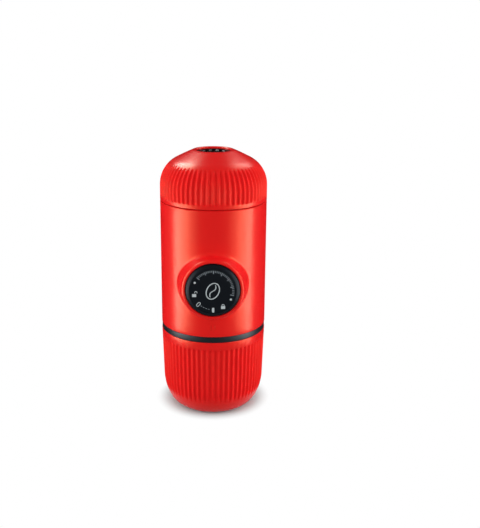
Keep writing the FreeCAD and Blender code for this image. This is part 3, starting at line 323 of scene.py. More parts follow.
def turned(outline: Outline, steps: int = 144, closed: bool = True,
           flutes: Optional["Flutes"] = None) -> bmesh.types.BMesh:
    """Turn an outline a full round about Z.

    Args:
        outline: The half-section.
        steps: Number of spans round the axis.
        closed: Whether the outline is a closed loop.
        flutes: Flutes to press into it, in which case one is made and then repeated.

    Returns:
        The mesh, in millimetres, with its faces outwards.
    """
    points = outline.rounded(closed)
    mesh = bmesh.new()
    share = mesh.verts.layers.float.new(GRIP)
    inward = mesh.verts.layers.float_vector.new("inward")
    verts = []
    for place, point in enumerate(points):
        vert = mesh.verts.new((point.x, 0, point.y))
        along = points[(place + 1) % len(points)] - points[place - 1]
        vert[share] = flutes.share(point) if flutes else 0.0
        vert[inward] = Vector((-along.y, along.x, 0)).normalized()
        verts.append(vert)
    pairs = list(zip(verts, verts[1:]))
    if closed:
        pairs.append((verts[-1], verts[0]))
    edges = [mesh.edges.new(pair) for pair in pairs]
    sectors = flutes.count if flutes else 1
    sector = 2 * math.pi / sectors
    bmesh.ops.spin(mesh, geom=verts + edges, axis=(0, 0, 1), angle=sector,
                   steps=steps // sectors, use_merge=sectors == 1)
    if flutes:
        flutes.press(mesh)
        bmesh.ops.spin(mesh, geom=whole(mesh), axis=(0, 0, 1), angle=2 * math.pi - sector,
                       steps=sectors - 1, use_duplicate=True)
    bmesh.ops.remove_doubles(mesh, verts=mesh.verts, dist=WELD)
    bmesh.ops.recalc_face_normals(mesh, faces=mesh.faces)
    share = mesh.verts.layers.float[GRIP]
    for face in mesh.faces:
        face.material_index = int(min(vert[share] for vert in face.verts) > GRIP_START)
    return mesh


@dataclass(frozen=True)
class Flutes:
    """A round of soft grip flutes, with a ridge on the front centre line."""

    share: Callable[[Vector], float]
    depth: float
    count: int = 64
    crispness: float = 0.8

    def press(self, mesh: bmesh.types.BMesh) -> None:
        """Press the flutes in where the vertices carry a share of their depth.

        Args:
            mesh: The turned mesh, with that share and the way inwards on its vertices.
        """
        share = mesh.verts.layers.float[GRIP]
        inward = mesh.verts.layers.float_vector["inward"]
        for vert in mesh.verts:
            if vert[share] <= 0:
                continue
            round_angle = math.atan2(vert.co.y, vert.co.x)
            valley = 0.5 - 0.5 * math.cos(self.count * round_angle)
            depth = self.depth * (valley ** self.crispness - 1 + vert[share])
            if depth <= 0:
                continue
            out = vert[inward].x * depth
            vert.co += Vector((out * math.cos(round_angle), out * math.sin(round_angle),
                               vert[inward].y * depth))


@dataclass(frozen=True)
class Thread:
    """A helical rib that stands on a round wall, with run-outs at both ends.

    It starts `low` above the level that it is built from, and rises by `rise`.
    """

    root: float
    crest: float
    low: float
    rise: float
    pitch: float = 2.6
    root_share: float = 0.34
    crest_share: float = 0.16
    spans: int = 48
    run_out: float = 0.08
    sink: float = 0.1
    thinnest: float = 0.02

    def build(self, level: float) -> bmesh.types.BMesh:
        """Sweep the rib's section along the helix.

        Args:
            level: The height that it is built from.

        Returns:
            The closed rib, in millimetres.
        """
        mesh = bmesh.new()
        offset = mesh.verts.layers.float.new("offset")
        low = level + self.low
        root = self.root_share * self.pitch
        crest = self.crest_share * self.pitch
        verts = []
        foot = self.root - math.copysign(self.sink, self.crest - self.root)
        for radius, height in ((foot, -root), (self.crest, -crest), (self.crest, crest), (foot, root)):
            vert = mesh.verts.new((radius, 0, low + height))
            vert[offset] = height
            verts.append(vert)
        edges = [mesh.edges.new(pair) for pair in zip(verts, verts[1:] + verts[:1])]
        turns = self.rise / self.pitch
        steps = round(turns * self.spans)
        bmesh.ops.spin(mesh, geom=verts + edges, axis=(0, 0, 1), angle=2 * math.pi * turns,
                       dvec=(0, 0, self.rise / steps), steps=steps)
        ends = [edge for edge in mesh.edges if edge.is_boundary]
        bmesh.ops.holes_fill(mesh, edges=ends, sides=4)
        for vert in mesh.verts:
            along = (vert.co.z - vert[offset] - low) / self.rise
            height = min(along, 1 - along, self.run_out) / self.run_out
            radius = math.hypot(vert.co.x, vert.co.y)
            lowered = foot + (radius - foot) * max(height, self.thinnest)
            vert.co.x *= lowered / radius
            vert.co.y *= lowered / radius
        bmesh.ops.recalc_face_normals(mesh, faces=mesh.faces)
        return mesh


def rounded_end(distance: float, length: float) -> float:
    """Share of a flute's depth at a distance from its rounded end."""
    reach = min(max(distance / length, 0), 1)
    return math.sqrt(1 - (1 - reach) ** 2)


def along_pump(mesh: bmesh.types.BMesh) -> bmesh.types.BMesh:
    """Lay a mesh drawn about Z along the pump's axis, with its top towards the front."""
    turn = Matrix.Translation((0, 0, PUMP_HEIGHT)) @ Matrix.Rotation(math.pi / 2, 4, "X")
    bmesh.ops.transform(mesh, matrix=turn, verts=mesh.verts)
    return mesh


def finished_piece(name: str, mesh: bmesh.types.BMesh, material: bpy.types.Material, body: Body,
                   replaced: Iterable[str] = (), crease: float = 40.0,
                   grip: Optional[bpy.types.Material] = None) -> None:
    """Make an object of a mesh drawn in millimetres and seat it in the frame.

    Args:
        name: The piece's name.
        mesh: The mesh, which is freed.
        material: Its finish.
        body: The body it moves with.
        replaced: Frame nodes that it stands for.
        crease: Angle in degrees past which an edge stays sharp.
        grip: The finish of its flutes, where it has them.
    """
    bmesh.ops.scale(mesh, vec=(MM, MM, MM), verts=mesh.verts)
    piece = placed(name, mesh, material, *([grip] if grip else []))
    data = piece.data
    for layer in (GRIP, "inward", "offset", "seat"):
        if layer in data.attributes:
            data.attributes.remove(data.attributes[layer])
    data.shade_smooth()
    data.set_sharp_from_angle(angle=math.radians(crease))
    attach(piece, body.value)
    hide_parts(*replaced)
    LOG.info("%s: %d faces on %s", name, len(data.polygons), body.value)


# ---- Finishes ----
@dataclass(frozen=True)
class MouldedPlastic:
    """Injection-moulded plastic whose mould was spark-eroded: satin, with a fine dry grain."""

    name: str
    colour: str
    roughness: float
    grain: float
    grain_depth: float
    gloss_spread: float = 0.04
    cloud: float = 14.0
    cloud_shade: float = 0.94
    tint: str = "#FFFFFF"
    specular: float = 0.15

    def material(self) -> bpy.types.Material:
        """Build the finish.

        Returns:
            A material with grain in its bump and gloss, and soft clouds in its colour.
        """
        material, tree, place = blank_material(self.name)
        grain = add_node(tree, "ShaderNodeTexNoise",
                         {"Scale": 1 / (self.grain * MM), "Detail": 3.0, "Roughness": 0.6},
                         {"Vector": place})
        cloud = add_node(tree, "ShaderNodeTexNoise",
                         {"Scale": 1 / (self.cloud * MM), "Detail": 4.0}, {"Vector": place})
        base = linear(self.colour)
        shaded = tuple(channel * self.cloud_shade for channel in base[:3]) + (1.0,)
        colour = add_node(tree, "ShaderNodeMix", {MIX_A: shaded, MIX_B: base},
                          {MIX_SHARE: cloud.outputs["Fac"]}, data_type="RGBA")
        end_in_surface(tree, grain.outputs["Fac"],
                       (self.roughness - self.gloss_spread, self.roughness + self.gloss_spread),
                       (1.0, self.grain_depth),
                       {"IOR": 1.5, "Specular IOR Level": self.specular,
                        "Specular Tint": linear(self.tint)},
                       {"Base Color": colour.outputs[MIX_RESULT]})
        return material


@dataclass(frozen=True)
class MouldedSilicone:
    """Compression-moulded silicone: deep, slightly greasy, with a faint bloom of dust."""

    name: str
    colour: str
    roughness: float
    gloss_spread: float = 0.08
    bloom: float = 0.25
    relief: tuple[float, float] = (0.5, 0.01)
    specular: float = 0.2

    def material(self) -> bpy.types.Material:
        """Build the finish.

        Returns:
            A material with a patchy bloom in its bump and gloss.
        """
        material, tree, place = blank_material(self.name)
        bloom = add_node(tree, "ShaderNodeTexNoise", {"Scale": 1 / (self.bloom * MM), "Detail": 5.0},
                         {"Vector": place})
        end_in_surface(tree, bloom.outputs["Fac"],
                       (self.roughness - self.gloss_spread, self.roughness + self.gloss_spread),
                       self.relief, {"Base Color": linear(self.colour), "IOR": 1.43,
                                     "Specular IOR Level": self.specular})
        return material


@dataclass(frozen=True)
class StainlessSteel:
    """Stainless steel, turned or drawn, with fine tool marks in rings about the upright axis."""

    name: str
    colour: str = "#B9BABC"
    roughness: float = 0.26
    marks: float = 0.35
    relief: tuple[float, float] = (0.35, 0.01)
    stretch: float = 40.0
    gloss_spread: tuple[float, float] = (0.06, 0.1)

    def material(self) -> bpy.types.Material:
        """Build the finish.

        Returns:
            A metal with tool marks in its bump and gloss.
        """
        material, tree, place = blank_material(self.name)
        stretched = add_node(tree, "ShaderNodeMapping", {"Scale": (1, 1, self.stretch)}, {"Vector": place})
        marks = add_node(tree, "ShaderNodeTexNoise",
                         {"Scale": 1 / (self.marks * MM * self.stretch), "Detail": 6.0, "Roughness": 0.7},
                         {"Vector": stretched.outputs["Vector"]})
        less, more = self.gloss_spread
        end_in_surface(tree, marks.outputs["Fac"], (self.roughness - less, self.roughness + more),
                       self.relief, {"Base Color": linear(self.colour), "Metallic": 1.0})
        return material


@dataclass(frozen=True)
class PadPrintedInk:
    """Pad-printed ink: thin and flat, slightly starved where the pad lifted."""

    name: str
    colour: str
    starved: str
    speck: float = 0.22
    cover: tuple[float, float] = (0.3, 0.55)
    roughness: float = 0.55

    def material(self) -> bpy.types.Material:
        """Build the finish.

        Returns:
            A matt material whose colour is uneven at the scale of the pad's texture.
        """
        material, tree, place = blank_material(self.name)
        speck = add_node(tree, "ShaderNodeTexNoise", {"Scale": 1 / (self.speck * MM), "Detail": 4.0},
                         {"Vector": place})
        low, high = self.cover
        cover = add_node(tree, "ShaderNodeMapRange", {"From Min": low, "From Max": high},
                         {"Value": speck.outputs["Fac"]})
        colour = add_node(tree, "ShaderNodeMix",
                          {MIX_A: linear(self.starved), MIX_B: linear(self.colour)},
                          {MIX_SHARE: cover.outputs["Result"]}, data_type="RGBA")
        shader = add_node(tree, "ShaderNodeBsdfPrincipled", {"Roughness": self.roughness, "IOR": 1.48},
                          {"Base Color": colour.outputs[MIX_RESULT]})
        add_node(tree, "ShaderNodeOutputMaterial", None, {"Surface": shader.outputs["BSDF"]})
        return material


class Palette:
    """The maker's finishes, each built once."""

    def __init__(self) -> None:
        """Build every finish."""
        # Red ABS from a spark-eroded mould: satin with broad soft highlights.
        self.red = MouldedPlastic("abs_red_spark_eroded", "#EC191C", roughness=0.27, grain=0.16,
                                  grain_depth=0.012, tint="#FFE29A", specular=0.12).material()
        # The same ABS on the grips, where the mould was etched: dry, with next to no highlight.
        self.grip = MouldedPlastic("abs_red_etched_grip", "#EC191C", roughness=0.55, grain=0.2,
                                   grain_depth=0.03, tint="#FFE29A", specular=0.045).material()
        # Black ABS from the same kind of mould: charcoal in the light, nearly black out of it.
        self.black = MouldedPlastic("abs_black_spark_eroded", "#0D1117", roughness=0.36, grain=0.16,
                                    grain_depth=0.012, specular=0.04).material()
        # Glass-filled nylon of the band: its grain is drawn coarse enough to show as specks.
        self.band = MouldedPlastic("nylon_black_glass_filled", "#0C1015", roughness=0.4, grain=0.3,
                                   grain_depth=0.05, specular=0.1).material()
        # Smooth satin disc that carries the print.
        self.face = MouldedPlastic("polycarbonate_black_satin", "#0B0F15", roughness=0.34, grain=0.2,
                                   grain_depth=0.006, specular=0.06).material()
        # Inner frame parts of nylon: plain, slightly paler, dry.
        self.frame = MouldedPlastic("nylon_dark_moulded", "#2A2E33", roughness=0.5, grain=0.3,
                                    grain_depth=0.02).material()
        # Soft black silicone of the vent cap and seals.
        self.silicone = MouldedSilicone("silicone_black_moulded", "#050608", roughness=0.3,
                                        specular=0.06).material()
        # Milky silicone of the duckbills.
        self.clear_silicone = MouldedSilicone("silicone_natural_moulded", "#C9C6BC",
                                              roughness=0.35).material()
        # Pad print: light grey for the marks, slate for the scale.
        self.ink = PadPrintedInk("ink_grey_pad_printed", "#C8CCCE", "#8E9498").material()
        self.soft_ink = PadPrintedInk("ink_slate_pad_printed", "#8B9197", "#5C6268").material()
        # Steel: turned for the pump cylinder and spring, drawn for the basket and screens, plated screws.
        self.turned_steel = StainlessSteel("stainless_steel_turned").material()
        self.drawn_steel = StainlessSteel("stainless_steel_deep_drawn", "#C4C5C6", roughness=0.3,
                                          marks=0.5).material()
        self.screw_steel = StainlessSteel("steel_zinc_plated", "#A9ABAD", roughness=0.34,
                                          marks=0.3).material()


# ---- Tank ----
@dataclass
class Tank:
    """The domed tank with its fluted grip, sunk well and soft vent cap."""

    palette: Palette
    radius: float
    bottom: float
    top: float
    wall: float = 2.4
    bore: float = 28.3
    thread: Thread = Thread(root=27.3, crest=26.9, low=0.35, rise=5.6)
    shoulder_start: float = 9.0
    shoulder_radius: float = 17.1
    shoulder_angle: float = 62.3
    shoulder_spans: int = 34
    crown_pull: float = 5.2
    crown_spans: int = 8
    rim_flat: float = 0.4
    rim_dip: float = 0.03
    rim_lip: float = 1.2
    well_radius: float = 10.2
    well_depth: float = 3.4
    socket_wall: float = 2.4
    socket_depth: float = 1.8
    vent_hole: float = 2.4
    seam_gap: float = 0.25
    tongue: float = 0.7
    thread_slope: float = 1.3
    flute_rise: float = 2.6
    flute_end_round: float = 1.7
    flute_end_rows: int = 7
    wall_rows: int = 2
    rim_spans: int = 6
    inner_spans: int = 10
    flute_turn: float = 30.0
    flute_depth: float = 0.8
    flute_spans: int = 12
    skin: float = 0.5

    @classmethod
    def from_frame(cls, palette: Palette) -> "Tank":
        """Take the tank's overall sizes from the frame."""
        high = extent("water_tank")[1]
        return cls(palette, high.x, extent("body_shell")[1].z, high.z)

    @property
    def shoulder_height(self) -> float:
        """Height at which the wall turns into the shoulder."""
        return self.bottom + self.shoulder_start

    @property
    def shoulder_centre(self) -> float:
        """Radius of the shoulder arc's centre."""
        return self.radius - self.shoulder_radius

    def flute_share(self, point: Vector) -> float:
        """Share of the flutes' full depth at an outline point.

        Args:
            point: Radius and height.

        Returns:
            Nothing on inner faces, 1 in the middle of a flute, less towards its ends.
        """
        across = point.x - self.shoulder_centre
        up = point.y - self.shoulder_height
        if up <= 0:
            rise = point.y - self.bottom - self.flute_rise
            on_wall = point.x > self.radius - self.skin
            return rounded_end(rise, self.flute_end_round) if on_wall else 0.0
        if abs(math.hypot(across, up) - self.shoulder_radius) > self.skin:
            return 0.0
        turn = math.atan2(up, across) - math.radians(self.flute_turn)
        if turn <= 0:
            return 1.0
        floor = (self.shoulder_radius - self.flute_depth) / math.cos(turn)
        return max((self.shoulder_radius - floor) / self.flute_depth, 0)

    def outline(self) -> Outline:
        """Draw the tank's half-section.

        Returns:
            The outline, from the seam up over the dome and the well, and down inside to the tongue.
        """
        angle = math.radians(self.shoulder_angle)
        inner = self.shoulder_radius - self.wall
        shoulder = (self.shoulder_centre, self.shoulder_height)
        under_dome = Vector(shoulder) + Vector((math.cos(angle), math.sin(angle))) * inner
        well_floor = self.top - self.well_depth
        socket_floor = well_floor - self.socket_depth
        rim_radius = self.well_radius + self.rim_lip
        socket = self.well_radius + self.socket_wall
        edge = self.bottom + self.seam_gap
        tongue = self.bottom - self.tongue
        flute_low = self.bottom + self.flute_rise
        outline = Outline(self.bore, edge)
        outline.path((self.radius, edge, Edge.BROAD), (self.radius, flute_low),
                     (self.radius, flute_low + self.flute_end_round, 0, self.flute_end_rows),
                     (self.radius, self.shoulder_height, 0, self.wall_rows))
        outline.ellipse(shoulder, (self.shoulder_radius,) * 2, 0, self.shoulder_angle, self.shoulder_spans)
        leave = Vector((-math.sin(angle), math.cos(angle))) * self.crown_pull
        outline.bend(rim_radius + self.rim_flat, self.top - self.rim_dip, leave, self.crown_spans)
        outline.ellipse((rim_radius, self.top - self.rim_lip), (self.rim_lip,) * 2, 90, 180, self.rim_spans)
        outline.path((self.well_radius, well_floor, Edge.SOFT), (self.vent_hole, well_floor, Edge.FINE),
                     (self.vent_hole, socket_floor, Edge.FINE), (socket, socket_floor, Edge.ROUND),
                     (socket, well_floor, Edge.ROUND), (*under_dome, Edge.SOFT))
        outline.ellipse(shoulder, (inner,) * 2, self.shoulder_angle, 0, self.inner_spans)
        outline.path((self.thread.root, self.shoulder_height - self.thread_slope, Edge.SOFT),
                     (self.thread.root, tongue, Edge.FINE), (self.bore, tongue, Edge.FINE))
        return outline

    def build(self) -> None:
        """Build and dress the tank."""
        flutes = Flutes(self.flute_share, self.flute_depth)
        shell = turned(self.outline(), flutes.count * self.flute_spans, flutes=flutes)
        finished_piece("tank_shell", shell, self.palette.red, Body.TANK, ["water_tank"],
                       grip=self.palette.grip)
        finished_piece("tank_thread", self.thread.build(self.bottom), self.palette.red, Body.TANK)
        VentCap(self.palette, self.vent_hole / 2).build()


@dataclass
class VentCap:
    """The soft disc in the tank's well, with a scalloped rim round a dished face."""

    palette: Palette
    bore: float
    rim_width: float = 2.7
    slope: float = 0.9
    dish: float = 0.9
    pip_radius: float = 2.9
    pip_slope: float = 0.5
    pip_dip: float = 0.5
    lobes: int = 6
    lobe_depth: float = 1.5
    lobe_reach: tuple[float, float] = (-1.4, 0.6)
    lobe_drop: float = 1.2

    def build(self) -> None:
        """Build and dress the cap."""
        low, high = extent("vent_cap")
        inner = high.x - self.rim_width
        floor = high.z - self.dish
        pip = high.z - self.pip_dip
        outline = Outline(self.bore, low.z, Edge.CRISP)
        outline.path((high.x, low.z, Edge.FINE), (high.x, high.z, Edge.FULL), (inner, high.z, Edge.BROAD),
                     (inner - self.slope, floor, Edge.ROUND),
                     (self.pip_radius + self.pip_slope, floor, Edge.SOFT),
                     (self.pip_radius, pip, Edge.SOFT), (self.bore, pip, Edge.FINE))
        cap = turned(outline)
        for vert in cap.verts:
            reach = math.hypot(vert.co.x, vert.co.y)
            on_rim = self.lobe_reach[0] < reach - inner < self.lobe_reach[1]
            if on_rim and vert.co.z > high.z - self.lobe_drop:
                wave = (0.5 + 0.5 * math.cos(self.lobes * math.atan2(vert.co.y, vert.co.x))) ** 2
                shrink = 1 - self.lobe_depth * wave / reach
                vert.co.x *= shrink
                vert.co.y *= shrink
        finished_piece("vent_cap_disc", cap, self.palette.silicone, Body.TANK, ["vent_cap"])


# ---- Main body ----
@dataclass
class Boss:
    """The flared boss and the well that the button runs in, on a round wall."""

    wall_radius: float
    height: float
    reach: float
    well_radius: float
    lip: float = 1.4
    flare: float = 3.0
    bevel: float = 0.4
    rounding: float = 1.35
    well_rounding: float = 0.28
    fillet: float = 2.2
    well_depth: float = 24.0
    sleeve_wall: float = 1.9
    flank_start: float = 1.5
    well_rows: int = 3

    def __post_init__(self) -> None:
        """Work out the radii that follow the well's, and the flank's slope."""
        self.sleeve_radius = self.well_radius + self.sleeve_wall
        self.rim_radius = self.well_radius + self.bevel + self.lip
        self.base_radius = self.rim_radius + self.flare
        base_reach = math.sqrt(self.wall_radius ** 2 - self.base_radius ** 2)
        self.slope = (self.base_radius - self.rim_radius) / (self.reach - base_reach)
        self.lean = math.atan(self.slope)

    def point(self, radius: float, reach: float, angle: float) -> Vector:
        """The place at a radius from the pump's axis, a reach and an angle round it."""
        return Vector((radius * math.cos(angle), -reach, self.height + radius * math.sin(angle)))

    def fillet_ball(self, angle: float) -> tuple[Vector, Vector, Vector]:
        """The ball that rolls between the wall and the boss's flank.

        Args:
            angle: Angle round the pump's axis.

        Returns:
            Its centre, and the directions from there to the wall and to the flank.
        """
        rolling = self.wall_radius + self.fillet
        offset = self.rim_radius + self.slope * self.reach + self.fillet / math.cos(self.lean)
        side = math.cos(angle) ** 2
        lead = 1 + self.slope ** 2 * side
        middle = offset * self.slope * side
        rest = offset ** 2 * side - rolling ** 2
        reach = (middle + math.sqrt(middle ** 2 - lead * rest)) / lead
        centre = self.point(offset - self.slope * reach, reach, angle)
        to_wall = -Vector((centre.x, centre.y, 0)).normalized()
        flank = Vector((math.cos(self.lean) * math.cos(angle), -math.sin(self.lean),
                        math.cos(self.lean) * math.sin(angle)))
        return centre, to_wall, -flank

    def on_fillet(self, angle: float, share: float) -> Vector:
        """A place on the fillet, from the wall (0) to the flank (1)."""
        centre, to_wall, to_flank = self.fillet_ball(angle)
        return centre + to_wall.slerp(to_flank, share) * self.fillet

    def turned_part(self) -> Outline:
        """Draw what is round about the pump's axis, as radius and reach.

        Returns:
            The outline, from the flank over the rim into the well and across the sleeve's end.
        """
        flank_radius = self.rim_radius + self.slope * self.flank_start
        foot = self.reach - self.well_depth
        outline = Outline(flank_radius, self.reach - self.flank_start)
        outline.path((self.rim_radius, self.reach, self.rounding),
                     (self.well_radius + self.bevel, self.reach, self.well_rounding),
                     (self.well_radius, self.reach - self.bevel, self.well_rounding),
                     (self.well_radius, foot, Edge.FINE, self.well_rows), (self.sleeve_radius, foot))
        return outline


@dataclass
class MainBody:
    """The housing between the tank and the portafilter."""

    palette: Palette
    radius: float
    bottom: float
    top: float
    boss_reach: float
    button_gap: float = 0.3
    wall: float = 2.4
    ledge_radius: float = 26.95
    ledge_top: float = 124.0
    ledge_bottom: float = 122.0
    spans: int = 180
    patch_half_turn: float = 54.0
    patch_half_height: float = 22.6
    patch_rows: int = 23
    low_rows: int = 3
    high_rows: int = 6
    rim_row: float = 0.4
    inner_rows: int = 4
    blend_rings: int = 7
    fillet_rings: int = 7
    rim_spans: int = 5
    seam_weld: float = 0.005
    hole_margin: float = 0.2
    mark_spacing: float = 1.8
    mark_width: float = 0.9
    mark_length: float = 3.6
    mark_rise: float = 3.7
    mark_depth: float = 0.32
    mark_inset: float = 0.4
    mark_side: float = 3.0
    mark_below: float = 3.0
    mark_above: float = 2.0
    skin: float = 0.6
    edge_drop: float = 0.15
    spigot_thread: Thread = Thread(root=26.8, crest=27.2, low=1.65, rise=5.6)
    head_thread: Thread = Thread(root=24.9, crest=24.4, low=2.0, rise=3.6)

    @classmethod
    def from_frame(cls, palette: Palette) -> "MainBody":
        """Take the housing's overall sizes from the frame."""
        low, high = extent("body_shell")
        return cls(palette, high.x, low.z, high.z, -low.y)

    def outline(self) -> Outline:
        """Draw the housing's half-section.

        Returns:
            The outline, with a row for every span of the patch that the boss is let into.
        """
        bore = self.radius - self.wall
        low = PUMP_HEIGHT - self.patch_half_height
        high = PUMP_HEIGHT + self.patch_half_height
        edge = self.top - self.edge_drop
        outline = Outline(bore, self.bottom, Edge.SOFT)
        outline.path((self.radius, self.bottom, Edge.ROUND), (self.radius, low, 0, self.low_rows),
                     (self.radius, high, 0, self.patch_rows),
                     (self.radius, edge - self.rim_row, 0, self.high_rows),
                     (self.radius, edge, Edge.RIM), (bore, edge, Edge.SOFT),
                     (bore, self.ledge_top, Edge.FINE), (self.ledge_radius, self.ledge_top, Edge.FINE),
                     (self.ledge_radius, self.ledge_bottom, Edge.FINE),
                     (bore, self.ledge_bottom, Edge.FINE), (bore, high, 0, self.inner_rows),
                     (bore, low, 0, self.patch_rows))
        return outline

    def open_patch(self, mesh: bmesh.types.BMesh) -> None:
        """Take out the rectangle of outer and inner wall that the boss grows from.

        Args:
            mesh: The turned housing.
        """
        half_turn = math.radians(self.patch_half_turn)
        gone = []
        for face in mesh.faces:
            centre = face.calc_center_median()
            turn = abs(math.atan2(centre.x, -centre.y))
            high = abs(centre.z - PUMP_HEIGHT)
            wall = math.hypot(centre.x, centre.y) > self.radius - self.wall - self.hole_margin
            if wall and turn < half_turn and high < self.patch_half_height:
                gone.append(face)
        bmesh.ops.delete(mesh, geom=gone, context="FACES")

    def mark_hole(self, mesh: bmesh.types.BMesh) -> list[bmesh.types.BMEdge]:
        """Note each vertex's angle round the pump, turn round the housing and height at the outer hole.

        Args:
            mesh: The opened housing.

        Returns:
            The outer hole's edges.
        """
        seat = mesh.verts.layers.float_vector.new("seat")
        middle = self.radius - self.wall / 2
        edges = [edge for edge in mesh.edges
                 if edge.is_boundary and all(math.hypot(v.co.x, v.co.y) > middle for v in edge.verts)]
        for vert in {vert for edge in edges for vert in edge.verts}:
            vert[seat] = Vector((math.atan2(vert.co.z - PUMP_HEIGHT, vert.co.x),
                                 math.atan2(vert.co.x, -vert.co.y), vert.co.z))
        return edges

    def on_wall(self, radius: float, start: tuple[float, float], goal: Vector, share: float) -> Vector:
        """A place on a round wall between a vertex of the patch's edge and a goal.

        Args:
            radius: The wall's radius.
            start: Turn and height of the patch's vertex.
            goal: The place to reach on the wall.
            share: 0 at the patch's vertex, 1 at the goal.

        Returns:
            The place.
        """
        turn = start[0] + (math.atan2(goal.x, -goal.y) - start[0]) * share
        height = start[1] + (goal.z - start[1]) * share
        return Vector((radius * math.sin(turn), -radius * math.cos(turn), height))

    def grow_boss(self, mesh: bmesh.types.BMesh, boss: Boss) -> None:
        """Extrude the hole's edge ring by ring over the boss, into the well and back to the inner wall.

        Args:
            mesh: The opened housing.
            boss: The boss to grow.
        """
        rim = self.mark_hole(mesh)
        layer = mesh.verts.layers.float_vector["seat"]
        bore = self.radius - self.wall
        stations: list[Callable[[float, tuple[float, float]], Vector]] = []
        for ring in range(1, self.blend_rings + 1):
            share = ring / self.blend_rings
            stations.append(lambda angle, start, share=share: self.on_wall(
                self.radius, start, boss.on_fillet(angle, 0), share))
        for ring in range(1, self.fillet_rings + 1):
            share = ring / self.fillet_rings
            stations.append(lambda angle, start, share=share: boss.on_fillet(angle, share))
        for spot in boss.turned_part().rounded(closed=False, steps=self.rim_spans):
            stations.append(lambda angle, start, spot=spot: boss.point(spot.x, spot.y, angle))
        for ring in range(self.blend_rings + 1):
            share = ring / self.blend_rings

            def back(angle: float, start: tuple[float, float], share: float = share) -> Vector:
                """A place on the way back from the sleeve to the inner wall's hole."""
                side = boss.sleeve_radius * math.cos(angle)
                seat = boss.point(boss.sleeve_radius, math.sqrt(bore ** 2 - side ** 2), angle)
                return self.on_wall(bore, start, seat, 1 - share)
            stations.append(back)
        for station in stations:
            grown = bmesh.ops.extrude_edge_only(mesh, edges=rim)["geom"]
            fresh = {part for part in grown if isinstance(part, bmesh.types.BMVert)}
            rim = [part for part in grown
                   if isinstance(part, bmesh.types.BMEdge) and all(v in fresh for v in part.verts)]
            for vert in fresh:
                angle, *start = vert[layer]
                vert.co = station(angle, start)
        bmesh.ops.remove_doubles(mesh, verts=mesh.verts, dist=self.seam_weld)
        bmesh.ops.recalc_face_normals(mesh, faces=mesh.faces)

    def press_marks(self, mesh: bmesh.types.BMesh) -> None:
        """Press two short upright index marks into the wall below the boss.

        Args:
            mesh: The housing.
        """
        low = self.bottom + self.mark_rise
        high = low + self.mark_length

        def nearby() -> list[bmesh.types.BMFace]:
            """Find the outer faces round the marks.

            Returns:
                The faces.
            """
            found = []
            for face in mesh.faces:
                centre = face.calc_center_median()
                close = abs(centre.x) < self.mark_side
                level = low - self.mark_below < centre.z < high + self.mark_above
                if close and level and centre.y < self.skin - self.radius:
                    found.append(face)
            return found
        cuts = [((0, 0, low), (0, 0, 1)), ((0, 0, high), (0, 0, 1))]
        for side in (-1, 1):
            for edge in (-1, 1):
                x = side * self.mark_spacing / 2 + edge * self.mark_width / 2
                cuts.append(((x, 0, 0), (1, 0, 0)))
        for place, normal in cuts:
            faces = nearby()
            geometry = list({vert for face in faces for vert in face.verts})
            geometry += list({edge for face in faces for edge in face.edges}) + faces
            bmesh.ops.bisect_plane(mesh, geom=geometry, dist=WELD, plane_co=place, plane_no=normal)
        for side in (-1, 1):
            inside = []
            for face in nearby():
                centre = face.calc_center_median()
                across = abs(centre.x - side * self.mark_spacing / 2) < self.mark_width / 2
                if across and low < centre.z < high:
                    inside.append(face)
            bmesh.ops.inset_region(mesh, faces=inside, thickness=self.mark_inset, depth=-self.mark_depth,
                                   use_boundary=True, use_even_offset=True)

    def build(self) -> None:
        """Build and dress the housing."""
        well_radius = extent("button_cap")[1].x + self.button_gap
        boss = Boss(self.radius, PUMP_HEIGHT, self.boss_reach, well_radius)
        mesh = turned(self.outline(), self.spans)
        self.open_patch(mesh)
        self.grow_boss(mesh, boss)
        self.press_marks(mesh)
        finished_piece("housing_shell", mesh, self.palette.red, Body.MAIN, ["body_shell"])
        for name, rib in (("spigot_thread", self.spigot_thread.build(self.top)),
                          ("brew_head_thread", self.head_thread.build(self.bottom))):
            finished_piece(name, rib, self.palette.frame, Body.MAIN)
        self.dress_inner()

    def dress_inner(self) -> None:
        """Give the nodes that no piece stands for their finishes."""
        looks = self.palette
        for material, nodes in (
                (looks.frame, "tank_base chassis brew_head lock_sleeve guide_bush plunger"),
                (looks.frame, "inlet_duct outlet_duct"),
                (looks.silicone, "tank_seal brew_gasket plunger_seal cup_seal"),
                (looks.clear_silicone, "inlet_valve outlet_valve vent_valve"),
                (looks.turned_steel, "pump_cylinder return_spring"),
                (looks.drawn_steel, "inlet_strainer shower_screen filter_basket"),
                (looks.screw_steel, "shower_screw tank_base_screws brew_head_screws button_clip"),
                (looks.black, "scoop spout")):
            for node in nodes.split():
                dress(frame["nodes"][node], material)


def dress(node: bpy.types.Object, material: bpy.types.Material) -> None:
    """Give every slot of a frame node one material."""
    node.data.materials.clear()
    node.data.materials.append(material)


